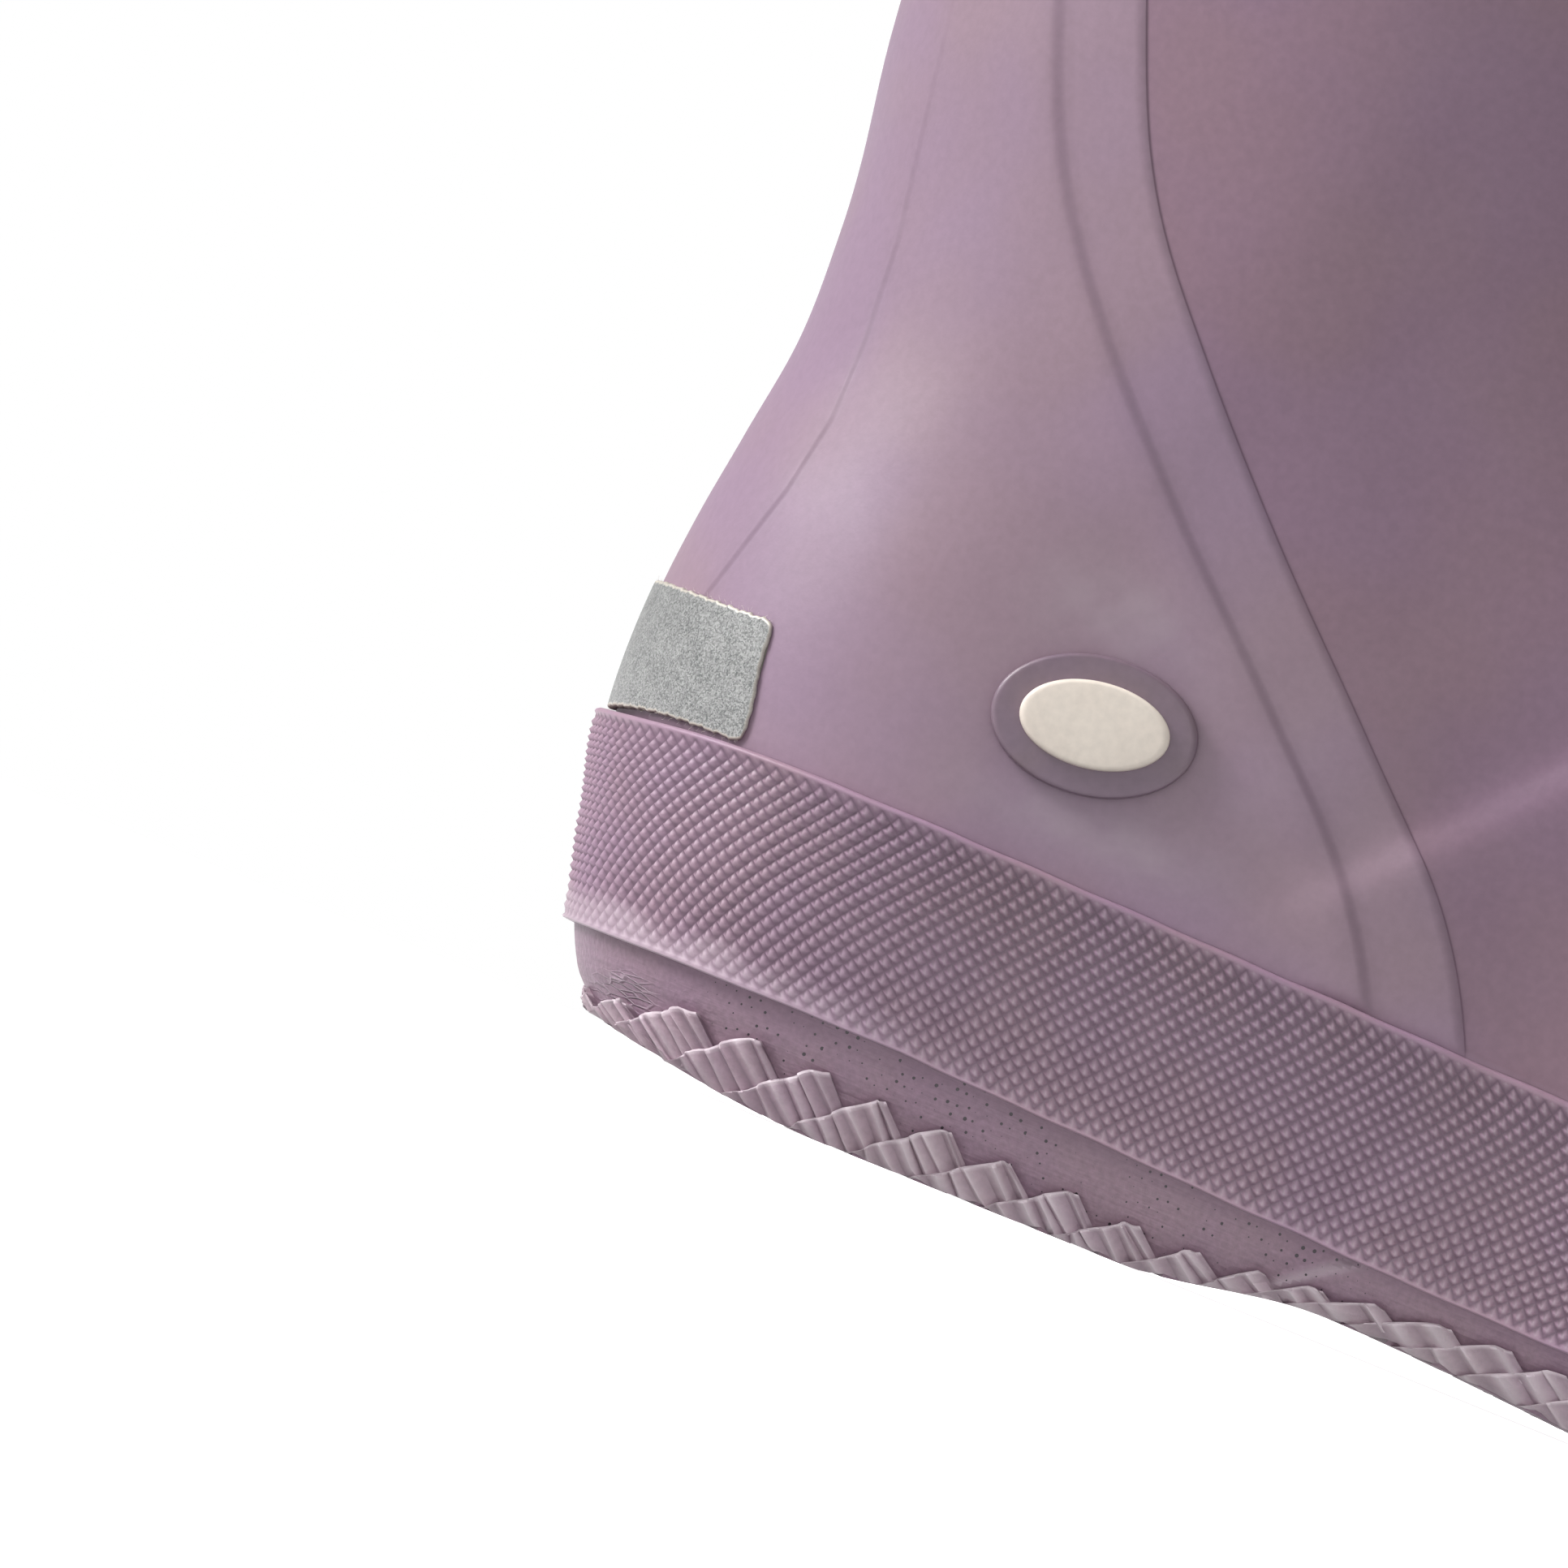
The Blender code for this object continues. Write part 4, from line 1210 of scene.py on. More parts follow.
@dataclass
class Foxing:
    """Rubber band round the foot, knurled with small pyramids between a rolled top edge and a flared lip."""

    tips: int = 312  # pyramids round the band, in each row
    tip_rows: int = 24
    knurl_from: float = 10.8
    knurl_to: float = 27.4
    height: float = 0.78
    lip_drop: float = 0.6  # how much lower the lip hangs behind the heel
    top_drop: float = 0.9  # how much lower the top edge lies there
    top_out: float = 0.5  # how much further it stands out there
    top_back: float = 16.0  # how far forward both of these reach
    top_from: float = 19.0  # level from which both grow, and over what height
    top_over: float = 8.0
    lip_back: float = 34.0  # how far forward the lip's drop reaches
    lip_to: float = 15.0  # level to which it reaches up, and over what height it grows
    lip_over: float = 4.0
    valley_painted_shade: float = 0.86  # painted shade in the valleys, how fast it thins out up a pyramid, and its limit
    painted_shade_fall: float = 1.4
    painted_shade_limit: float = 0.9
    lower_side_painted_shade: float = 0.4  # how much more painted shade sits on the lower side of each pyramid, as if lit from above
    painted_shade_worn_off: float = 0.6  # share of the painted shade that the worn patch leaves out
    tip_painted_highlight: float = 0.35  # painted highlight on the tips behind the heel, and how much brighter it is along the foot
    tip_painted_highlight_more: float = 0.5
    paler_from: float = 8.0  # where they start to be paler, and over what length
    paler_over: float = 40.0
    tip_from: float = 0.45  # height on a pyramid from which the painted highlight starts
    tip_tilt: float = 0.25  # how much higher that is on its lower side
    heel_flat: float = 0.32  # how much flatter the pyramids are at the heel
    flat_to: float = 40.0  # where that ends, and over what length
    flat_over: float = 30.0
    worn_flat: float = 0.35  # how much flatter wear has made them
    uneven: float = 0.18  # how unlike in height they are, and how far apart the unlike ones stand
    uneven_length: float = 5.3
    blunt: float = 0.8  # power that rounds the tips
    middle: float = 0.65  # height on a pyramid that lies on the band's own face
    wear_dust: float = 0.5
    wear_to: float = 44.0  # where the wear ends along the band, and over what length
    wear_over: float = 36.0
    wear_top: float = 12.9  # height of its edge at the heel, and how much that waves and falls
    wear_wave: float = 0.8
    wave_length: float = 9.0
    wear_fall: float = 0.03
    wear_soft: float = 2.0  # width of that edge
    dent_depth: float = 0.2  # depth and half width of the soft fold
    dent_width: float = 2.4
    bulge: float = 0.5  # share of that depth by which the band swells in front of it
    bulge_at: float = 4.5
    bulge_width: float = 3.0
    sag: float = 0.10  # height and length of slow waves in the whole band
    sag_length: float = 17.0

    PROFILE = ((10.3, 1.50), (11.3, 1.55), (12.9, 1.35), (19.0, 1.22), (27.4, 1.02))
    FOOT_EDGE = ((12.4, -0.3), (10.9, 0.2), (10.25, 0.6), (10.3, 1.3), (10.42, 1.6), (10.6, 1.74))
    TOP_EDGE = ((27.6, 1.18), (27.8, 1.1), (27.93, 0.85), (27.95, 0.45), (27.8, -0.15), (26.0, -0.3))
    DENT = (78.5, 23.5, 70.5, 12.5)  # a soft fold across the outer side, from x and z to x and z
    SAG_WAY = (0.5, 0.0, 1.0)  # the way in which the slow waves move it

    def rows(self) -> list[tuple[float, float, float]]:
        """Rings of the band, up its outer face.

        Returns:
            Each one's level, its offset and its number in the knurl, which is -1 off the knurl.
        """
        levels, offsets = np.array(self.PROFILE).T
        rows = [(level, offset, -1.0) for level, offset in self.FOOT_EDGE]
        count = 2 * self.tip_rows
        for step in range(count + 1):
            level = self.knurl_from + (self.knurl_to - self.knurl_from) * step / count
            rows.append((level, float(np.interp(level, levels, offsets)), float(step)))
        rows += [(level, offset, -1.0) for level, offset in self.TOP_EDGE]
        rows.append(rows[0])
        return rows

    def build(self) -> Piece:
        """Lay out the band, dress it and settle it.

        Returns:
            The band.
        """
        columns = 4 * self.tips
        flat = np.zeros(columns + 1)
        points, peaks, dust_and_painted_highlight, painted_shades = [], [], [], []
        for level, offset, phase in self.rows():
            angles = LAST.even_angles(level, columns)
            skin = LAST.skin(level, angles)
            x = skin[:, 0]
            wear = self.wear(skin)
            knurl = (flat, flat + 0.5, flat, flat) if phase < 0 else self.knurl(phase, skin, wear)
            out, peak, painted_shade, tip = knurl
            high = float(ease((level - self.top_from) / self.top_over)) * ease(1 - x / self.top_back)
            low = float(ease((self.lip_to - level) / self.lip_over)) * ease(1 - x / self.lip_back)
            lift = offset + out - self.dents(skin) + self.top_out * high
            ring = skin + lift[:, None] * LAST.normals(level, angles)
            ring[:, 2] -= self.lip_drop * low + self.top_drop * high
            ring += self.sag * ripple(skin, self.sag_length, 0.6)[:, None] * np.array(self.SAG_WAY)
            points.append(ring)
            peaks.append(peak)
            # Dry dust where the band is worn, with the tips' painted highlight on top.
            dust_and_painted_highlight.append(np.clip(self.wear_dust * wear + tip, 0, 1))
            painted_shades.append(painted_shade)
        marks = {"seam": np.array(painted_shades), "dust_and_painted_highlight": np.array(dust_and_painted_highlight), "peak": np.array(peaks)}
        band = sheet("knurled_foxing", np.array(points), marks)
        self.split_valleys(band)
        settle(band, "foxing", BAND_RUBBER)
        return band

    def knurl(self, phase: float, skin: np.ndarray, wear: np.ndarray) -> tuple[np.ndarray, ...]:
        """Knurl along one ring.

        Args:
            phase: the ring's number.
            skin: its points on the skin.
            wear: how worn each is.

        Returns:
            How far each point stands out, its height on its pyramid, its painted shade and its painted
            highlight.
        """
        x = skin[:, 0]
        peak, fall = self.pyramid(np.arange(len(skin)), phase)
        # Painted shade in the valleys and more on each pyramid's lower side; a painted highlight on the tips.
        painted_shade = np.clip(self.valley_painted_shade - self.painted_shade_fall * peak + self.lower_side_painted_shade * fall, 0, self.painted_shade_limit)
        pale = self.tip_painted_highlight + self.tip_painted_highlight_more * ease((x - self.paler_from) / self.paler_over)
        tip = pale * np.clip(peak - self.tip_from - self.tip_tilt * fall, 0, 1)
        rim = float(ease(min(phase, 2 * self.tip_rows - phase) / 2.0))
        odd = self.uneven * ripple(skin, self.uneven_length, 2.2)
        tall = self.height * (1 + odd) * (1 - self.worn_flat * wear)
        tall = tall * (1 - self.heel_flat * ease((self.flat_to - x) / self.flat_over))
        out = rim * tall * (peak**self.blunt - self.middle)
        return out, peak, painted_shade * (1 - self.painted_shade_worn_off * wear), tip

    @staticmethod
    def pyramid(around: np.ndarray, phase: float) -> tuple[np.ndarray, np.ndarray]:
        """Knurl along one ring: staggered rows of pyramids, two rings apart.

        Args:
            around: the ring's columns, four to a pyramid.
            phase: the ring's number.

        Returns:
            The height of each point, from 0 to 1, and how many rings below its pyramid's tip it lies.
        """
        height, fall = np.zeros((2, len(around)))
        for row in (0, 1):
            up = (phase - 2 * row + 2) % 4 - 2
            along = (around - 2 * row + 2) % 4 - 2
            here = 1 - (np.abs(up) + np.abs(along)) / 2
            fall = np.where(here > height, -up, fall)
            height = np.maximum(height, here)
        return height, fall

    def wear(self, points: np.ndarray) -> np.ndarray:
        """Wear in a pale patch, low behind the heel, that thins out along the band.

        Args:
            points: points of the skin.

        Returns:
            How worn each is.
        """
        x, z = points[:, 0], points[:, 2]
        reach = ease((self.wear_to - x) / self.wear_over)
        top = self.wear_top + self.wear_wave * ripple(points, self.wave_length, 0.3) - self.wear_fall * x
        return reach * ease((top - z) / self.wear_soft + 0.5)

    def dents(self, points: np.ndarray) -> np.ndarray:
        """Depth of the soft fold that the arch has pressed across the band.

        Args:
            points: points of the skin.

        Returns:
            How far each is pressed in.
        """
        x, z = points[:, 0], points[:, 2]
        top_x, top_z, low_x, low_z = self.DENT
        away = x - np.interp(z, (low_z, top_z), (low_x, top_x))
        swell = self.bulge * np.exp(-((away - self.bulge_at) / self.bulge_width) ** 2)
        fold = np.exp(-(away / self.dent_width) ** 2) - swell
        return np.where(points[:, 1] < 0, self.dent_depth * fold, 0.0)

    @staticmethod
    def split_valleys(band: Piece) -> None:
        """Split the quads along the valleys, so that the pyramids keep straight edges.

        Args:
            band: the band, with the height of each point on its pyramid as its mark.
        """
        mesh = band.data
        heights = np.zeros(len(mesh.vertices), dtype=np.float32)
        mesh.attributes["peak"].data.foreach_get("value", heights)
        corners = np.zeros(len(mesh.loops), dtype=np.int32)
        mesh.loops.foreach_get("vertex_index", corners)
        quads = heights[corners].reshape(-1, 4)
        split = quads[:, 0] + quads[:, 2] < quads[:, 1] + quads[:, 3]
        for method in ("FIXED", "FIXED_ALTERNATE"):
            pick(band)
            bpy.ops.object.mode_set(mode="EDIT")
            bpy.ops.mesh.select_mode(type="FACE")
            bpy.ops.mesh.select_all(action="DESELECT")
            bpy.ops.object.mode_set(mode="OBJECT")
            mesh.polygons.foreach_set("select", split)
            bpy.ops.object.mode_set(mode="EDIT")
            bpy.ops.mesh.quads_convert_to_tris(quad_method=method)
            bpy.ops.object.mode_set(mode="OBJECT")
            sides = np.zeros(len(mesh.polygons), dtype=np.int32)
            mesh.polygons.foreach_get("loop_total", sides)
            split = sides == 4  # what is left goes the other way


@dataclass
class Outsole:
    """Moulded sole: plain band under the foxing, slanted pleated teeth along its edge, zigzag bars below."""

    edge_level: float = 10.3
    top_level: float = 12.3
    top_in: float = 1.0  # how far in from its rim the top turns level
    lean_in: float = 2.5  # how far the side leans in by the ground
    tuck: float = 1.7  # how much further it curves under
    sunk: float = 0.45  # how far the side lies behind the teeth, and how soon below their tops
    sunk_fade: float = 2.0
    columns: int = 640
    side_rows: int = 14
    peak_at: float = 0.58  # where a tooth's peak stands, as a share of its pitch
    overlap: float = 0.35  # how far a tooth runs on under the next one
    ledge: float = 0.62  # how far a tooth's top edge stands out
    pleat_height: float = 0.55
    corner: float = 0.6  # how far a tooth's front corner is rounded off, and over which last share of its top
    corner_from: float = 0.84
    corner_over: float = 0.16
    corner_in: float = 0.25  # how far that corner's end is drawn in
    root: float = 1.4  # how far a tooth reaches into the sole
    relief_back: float = 0.15  # share of their relief that the teeth keep at the heel's back
    relief_from: float = 15.0  # where they have it all
    pale_from: float = 22.0  # where the teeth start to be painted lighter, standing in for light on them, and over what length
    pale_over: float = 22.0
    face_painted_light: float = 0.25  # how much painted light their faces get there
    ridge_painted_highlight: float = 0.45  # painted highlight on the pleats' ridges, and how much brighter it is there
    ridge_painted_highlight_more: float = 0.3
    rim_painted_highlight: float = 0.5  # painted highlight on the top edge
    pleat_valley_painted_shade: float = 0.65  # painted shade in the pleats' valleys, and how fast it thins out up a pleat
    valley_fall: float = 1.9
    end_painted_shade: float = 0.3  # painted shade on the last share of a tooth
    end_share: float = 0.3
    dark_limit: float = 0.75
    painted_shade_lifted: float = 0.4  # share of the painted shade left out where the teeth are painted lighter
    odd_height: float = 0.03  # how unlike in height the teeth are
    odd_pleats: float = 0.22  # how unlike in width the pleats are
    odd_relief: float = 0.25  # how unlike in relief the teeth are, and the pleats of a tooth
    odd_pleat_relief: float = 0.4
    waver: float = 0.07  # unevenness of the teeth's faces
    crest_waver: float = 0.09  # unevenness of their top edges, upwards and along
    edge_waver: float = 0.05
    rim_depth: float = 0.13  # share of a face's depth in its rounded rim
    pleat_back: float = 0.28  # share of a pleat in its short rear face
    pleat_middle: float = 0.6  # height on a pleat that lies on the tooth's own face
    heel_bevel: float = 5.6
    heel_bevel_end: float = 31.0
    heel_bevel_curve: float = 1.8  # power of its curve
    arch_rise: float = 2.2
    arch_from: float = 57.0
    arch_top: float = 74.0
    arch_to: float = 118.0
    pleat_step: float = 12.0
    pleat_depth: float = 0.9
    groove_lean: float = 0.10
    groove_slope: float = 0.3
    groove_under: float = 3.0  # how far a groove's cutter reaches below the sole
    run_out: float = 4.0
    breast_foot: float = 66.5  # where the forefoot's side starts at the floor
    breast_lean: float = 1.45  # how far forward it starts for each mm of height
    breast_step: float = 0.9  # how far it stands out past the waist
    breast_edge: float = 1.6
    breast_from: float = 84.0  # where that fades out, and over what length
    breast_fade: float = 30.0
    breast_painted_highlight: float = 0.55  # painted highlight along its edge: how bright, how far past the start it lies, and its width
    pale_past: float = 1.0
    pale_width: float = 0.8
    pale_top: float = 0.97  # share of the side's height up to which that painted highlight runs
    heel_step: float = 0.9  # how far the heel stands out, at its back
    heel_fade: float = 40.0
    lip_painted_shade: float = 0.55  # painted shade under the band's lip, and the share of the side's height where it starts
    lip_from: float = 0.68

    # Down a tooth's face: share of its depth, and share of the ledge by which it stands out.
    FACE = ((0.0, -0.3), (0.0, 0.55), (0.05, 0.9), (0.13, 1.0), (0.42, 0.72), (0.72, 0.42), (1.0, 0.05))
    # Along one pleat, from its sharp rear edge.
    PLEAT = (0.0, 0.14, 0.28, 0.5, 0.75)

    def bottom(self, x: np.ndarray) -> np.ndarray:
        """Underside along the sole: heel bevel, flat, arch, flat and toe spring.

        Args:
            x: places along the sole.

        Returns:
            Its height above the floor at each.
        """
        bevel = self.heel_bevel * np.clip(1 - x / self.heel_bevel_end, 0, 1) ** self.heel_bevel_curve
        arch = self.arch_rise * ease((x - self.arch_from) / (self.arch_top - self.arch_from))
        arch = arch * ease((self.arch_to - x) / (self.arch_to - self.arch_top))
        return bevel + arch + LAST.spring(x)

    def lean(self, high: np.ndarray, tall: np.ndarray) -> np.ndarray:
        """How far the side lies inside the outline at a height, where the side is so tall."""
        fall = np.clip(1 - high / tall, 0, 1)
        return self.lean_in * fall + self.tuck * fall**2

    def swell(self, x: np.ndarray, high: np.ndarray) -> np.ndarray:
        """Step of the heel and of the forefoot's breast.

        Args:
            x: places along the sole.
            high: heights above the underside.

        Returns:
            How far each place stands out past the waist.
        """
        start = self.breast_foot + self.breast_lean * high
        breast = ease((x - start) / self.breast_edge) * (1 - ease((x - self.breast_from) / self.breast_fade))
        return self.breast_step * breast + self.heel_step * ease(1 - x / self.heel_fade)

    @staticmethod
    def edge_at(x: np.ndarray) -> np.ndarray:
        """Peak, tooth, pitch and pleat along the sole."""
        return blend(np.array([row.x for row in EDGE]), [row[1:] for row in EDGE], x)

    def rings(self) -> list[np.ndarray]:
        """Rings of the sole without teeth and grooves.

        Returns:
            The rings, from its underside's middle line to its top's.
        """
        angles = LAST.even_angles(self.edge_level, self.columns)
        outline = LAST.skin(self.edge_level, angles)
        ground = inset(outline, self.lean_in + self.tuck)
        floor = self.bottom(ground[:, 0])
        tall = outline[:, 2] - floor
        peak = self.edge_at(ground[:, 0])[:, 0]
        side = []
        for share in np.linspace(0, 1, self.side_rows + 1):
            high = share * tall
            behind = self.sunk * ease((peak - high) / self.sunk_fade)
            ring = inset(outline, self.lean(high, tall) + behind - self.swell(outline[:, 0], high))
            ring[:, 2] = floor + high
            side.append(ring)
        middle = to_spine(side[0])
        middle[:, 2] = self.bottom(middle[:, 0])
        top = LAST.skin(self.top_level, angles)
        under = inset(top, self.top_in)
        return [middle, *side, top, under, to_spine(under)]

    def shades(self, rings: list[np.ndarray]) -> dict[str, np.ndarray]:
        """Painted shade under the band's lip, and a painted highlight along the breast's edge.

        Args:
            rings: the sole's rings.

        Returns:
            The marks of each point.
        """
        share = np.clip((np.arange(len(rings)) - 1) / self.side_rows, 0, 1)
        x, z = (np.array([ring[:, i] for ring in rings]) for i in (0, 2))
        high = z - self.bottom(x)
        past = x - self.breast_foot - self.breast_lean * high
        edge = np.exp(-((past - self.pale_past) / self.pale_width) ** 2) * (share[:, None] < self.pale_top)
        lip = np.broadcast_to(ease((share - self.lip_from) / (1 - self.lip_from))[:, None], x.shape)
        return {"seam": self.lip_painted_shade * lip, "dust_and_painted_highlight": self.breast_painted_highlight * edge}

    def groove(self, tread: Tread, index: int, ground: np.ndarray) -> Piece:
        """Cutter of one groove, pleated across the sole and shallower where it runs out at the edges.

        Args:
            tread: the run of grooves.
            index: its number in that run.
            ground: the ring that the sole stands on.

        Returns:
            The cutter, closed.
        """
        start = tread.start + index * tread.pitch
        half = len(ground) // 2
        outer, inner = ground[:half], ground[half:][::-1]
        low = np.interp(start, outer[:, 0], outer[:, 1])
        high = np.interp(start, inner[:, 0], inner[:, 1])
        count = round((high - low) / self.pleat_step)
        across = np.concatenate(
            [[low - self.run_out], low + (high - low) * np.arange(count + 1) / count, [high + self.run_out]]
        )
        base = float(self.bottom(np.array(start + tread.width / 2)))
        rings = []
        for step, y in enumerate(across):
            at_edge = step < 2 or step > len(across) - 3
            top = base + (tread.end_depth if at_edge else tread.depth)
            rear = start - self.pleat_depth * (step % 2) - self.groove_lean * y
            ring = [
                (rear, y, base - self.groove_under),
                (rear + self.groove_slope, y, top),
                (rear + tread.width - self.groove_slope, y, top),
                (rear + tread.width, y, base - self.groove_under),
            ]
            rings.append(np.array(ring + ring[:1]))
        ends = [np.tile(ring[:-1].mean(axis=0), (5, 1)) for ring in (rings[0], rings[-1])]
        return sheet("groove", np.array([ends[0], *rings, ends[1]]))

    def tooth(self, index: int, track: "EdgeTrack") -> Piece:
        """One tooth: a pleated face under a slanted top edge, with its root inside the sole.

        Args:
            index: its number from the heel's back.
            track: the edge that it stands on.

        Returns:
            The tooth, closed.
        """
        place = track.x_at(index + 0.5)
        peak, drop, pitch, pleat = self.edge_at(np.array([place]))[0]
        odd = math.sin(index * 12.9 + 1.7 * track.side.value)  # no two teeth are quite alike
        peak *= 1 + self.odd_height * odd
        length = self.peak_at * peak / drop
        lean = (1 - self.peak_at) / drop
        pleats = max(3, round(math.hypot(length * pitch, peak) / pleat))
        relief = self.relief_back + (1 - self.relief_back) * float(ease(place / self.relief_from))
        pale = float(ease((place - self.pale_from) / self.pale_over))
        stops = np.array(self.PLEAT)
        share = np.concatenate([(np.arange(pleats)[:, None] + stops).ravel(), [pleats, pleats]])
        fold = np.concatenate([np.tile(self.pleat_profile(stops), pleats), [0.25, 0.0]])
        uneven = np.sin(share * 2.3 + index * 4.1)
        wander = np.sin(share * math.pi) * np.sin(share * 1.7 + index * 2.9)
        share = (share + self.odd_pleats * wander) / pleats
        crest = share * peak
        reach = np.minimum(crest, drop + self.overlap)
        crest = crest - self.corner * ease((share - self.corner_from) / self.corner_over)
        crest = crest + self.crest_waver * uneven * ease(share * 4)
        face, root, marks, darks = [], [], [], []
        for down, stand in self.FACE:
            high = crest - down * reach
            run = index + self.peak_at - length + share * length + (crest - high) * lean
            run = run + self.edge_waver * uneven * (1 - down)
            high = np.maximum(high, np.minimum(track.notch(run), crest))
            below = min(1.0, down / self.rim_depth)
            depth = self.pleat_height * (1 + self.odd_relief * odd + self.odd_pleat_relief * uneven) * below
            out = self.ledge * stand + depth * (fold - self.pleat_middle)
            out = relief * out + self.waver * np.sin(7.0 * run * pitch + 3.0 * high + index)
            out[-1] -= self.corner_in
            face.append(track.point(run, high, out))
            root.append(track.point(run, high, np.full(len(run), -self.root)))
            # Painted highlights on the pleats' ridges and top edge, painted light further forward, and
            # painted shade in the valleys and at each tooth's end.
            ridge = np.clip(fold * 2 - 1.1, 0, 1) * (1 - 0.4 * down)
            painted_highlights = self.face_painted_light * pale + (self.ridge_painted_highlight + self.ridge_painted_highlight_more * pale) * ridge
            on_rim = 0 < stand and down < 0.1
            marks.append(np.clip(painted_highlights + (self.rim_painted_highlight if on_rim else 0.0), 0, 1))
            end = ease((share + self.end_share - 1) / self.end_share)
            dark = self.pleat_valley_painted_shade * np.clip(1 - self.valley_fall * fold, 0, 1) + self.end_painted_shade * end
            darks.append(np.clip(dark, 0, self.dark_limit) * (1 - self.painted_shade_lifted * pale) * below)
        loop = np.array(face + root[::-1] + face[:1])
        backs = np.array(root + root[::-1] + root[:1])
        grid = np.concatenate([loop, backs[:, -1:]], axis=1)
        plain = [np.zeros(len(share))] * len(root)
        shades = {}
        for name, values in (("dust_and_painted_highlight", marks), ("seam", darks)):
            shade = np.array(values + plain + values[:1])
            shades[name] = np.concatenate([shade, shade[:, -1:]], axis=1)
        if track.side is Side.INNER:
            grid = grid[::-1]
            shades = {name: shade[::-1] for name, shade in shades.items()}
        return sheet("tooth", grid, shades)

    def pleat_profile(self, share: np.ndarray) -> np.ndarray:
        """Height of a pleat along its width: a short face to the rear and a long one to the front."""
        back = self.pleat_back
        return np.where(share < back, share / back, (1 - share) / (1 - back))

    def build(self) -> list[Piece]:
        """Model the sole and its teeth, dress and settle them.

        Returns:
            The sole's body and its row of teeth.
        """
        rings = self.rings()
        sole = sheet("sole_body", np.array(rings), self.shades(rings))
        cutters = [self.groove(tread, i, rings[1]) for tread in TREADS for i in range(tread.count)]
        cutter = join("grooves", cutters)
        pick(sole)
        cut = sole.modifiers.new("grooves", "BOOLEAN")
        cut.operation = "DIFFERENCE"
        cut.solver = "EXACT"
        cut.object = cutter
        bpy.ops.object.modifier_apply(modifier=cut.name)
        bpy.data.objects.remove(cutter)
        bpy.ops.object.shade_smooth_by_angle(angle=math.radians(32.0))
        teeth = []
        for side in Side:
            track = EdgeTrack(self, side)
            teeth += [self.tooth(index, track) for index in range(track.teeth)]
        row = join("sole_teeth", teeth)
        pick(row)
        bpy.ops.object.shade_smooth_by_angle(angle=math.radians(35.0))
        for piece, rubber in ((sole, TREAD_RUBBER), (row, PAINTED_LIGHT_TOOTH_RUBBER)):
            piece.data.materials.clear()
            settle(piece, "outsole", rubber)
        return [sole, row]


class EdgeTrack:
    """The sole's edge along one side, by the count of teeth from the heel's back and the height."""

    def __init__(self, sole: Outsole, side: Side) -> None:
        """Lay the track.

        Args:
            sole: the sole whose edge it follows.
            side: the side of the foot.
        """
        self.sole = sole
        self.side = side
        self.path = LAST.skin(sole.edge_level, -side.value * HALF_TURN)
        pitches = sole.edge_at(self.path[:, 0])[:, 2]
        counts = np.concatenate([[0.0], np.cumsum(np.diff(arc_lengths(self.path)) / pitches[1:])])
        self.teeth = round(counts[-1])
        self.counts = counts * self.teeth / counts[-1]
        ahead = np.gradient(self.path[:, :2], axis=0)
        ahead /= np.linalg.norm(ahead, axis=1, keepdims=True)
        self.inward = -side.value * np.stack([-ahead[:, 1], ahead[:, 0]], axis=1)

    def on_path(self, run: Any, values: np.ndarray) -> np.ndarray:
        """Values of the path at counts of teeth along the edge."""
        return np.interp(np.clip(run, 0, self.teeth), self.counts, values)

    def x_at(self, run: float) -> float:
        """Place along the boot at a count of teeth along the edge."""
        return float(self.on_path(run, self.path[:, 0]))

    def notch(self, run: np.ndarray) -> np.ndarray:
        """Notches in the lower edge, between the rounded ends of the sole's bars.

        Args:
            run: places along the edge, in teeth.

        Returns:
            How far the edge is lifted at each.
        """
        x, y = (self.on_path(run, self.path[:, i]) for i in (0, 1))
        lifted = np.zeros(len(run))
        for tread in TREADS:
            number = (x + self.sole.groove_lean * y - tread.start - tread.width / 2) / tread.pitch
            away = np.abs((number + 0.5) % 1.0 - 0.5) * 2
            lobe = tread.notch * (1 - np.sqrt(np.clip(1 - (1 - away) ** 2, 0, 1)))
            lifted += np.where((number > -0.5) & (number < tread.count - 0.5), lobe, 0.0)
        return lifted

    def point(self, run: np.ndarray, high: np.ndarray, out: np.ndarray) -> np.ndarray:
        """Points on the sloped edge.

        Args:
            run: places along the edge, in teeth.
            high: heights off the underside.
            out: distances off the slope, outwards.

        Returns:
            One point for each.
        """
        sole = self.sole
        x, y, rim = (self.on_path(run, self.path[:, i]) for i in range(3))
        inward = np.stack([self.on_path(run, self.inward[:, i]) for i in (0, 1)], axis=1)
        floor = sole.bottom(x + (sole.lean_in + sole.tuck) * inward[:, 0])
        depth = sole.lean(high, rim - floor) - sole.swell(x, high) - out
        return np.stack([x + depth * inward[:, 0], y + depth * inward[:, 1], floor + high], axis=1)


@dataclass
class Insole:
    """Loose foam insole with a knit cover and a rounded rim."""

    foot: float = 12.6
    thick: float = 3.0
    gap: float = 2.8  # from the skin to its rim
    rim: float = 0.9
    foot_in: float = 0.2  # width and height of the bevel round its foot
    foot_up: float = 0.4
    columns: int = 240

    def build(self) -> Piece:
        """Lay it out, dress it and settle it.

        Returns:
            The insole.
        """
        top = self.foot + self.thick
        path = [(self.foot, self.gap + self.foot_in), (self.foot + self.foot_up, self.gap)]
        for turn in np.linspace(0, math.pi / 2, 6):
            rise, back = self.rim * math.sin(turn), self.rim * (1 - math.cos(turn))
            path.append((top - self.rim + rise, self.gap + back))
        rings = []
        for level, distance in path:
            angles = LAST.even_angles(level, self.columns)
            rings.append(LAST.offset(level, angles, -distance))
        rings = [to_spine(rings[0]), *rings, to_spine(rings[-1])]
        rings = np.array(rings)
        insole = sheet("knit_insole", rings, spread=rings[..., :2])
        settle(insole, "insole", INSOLE_KNIT)
        return insole


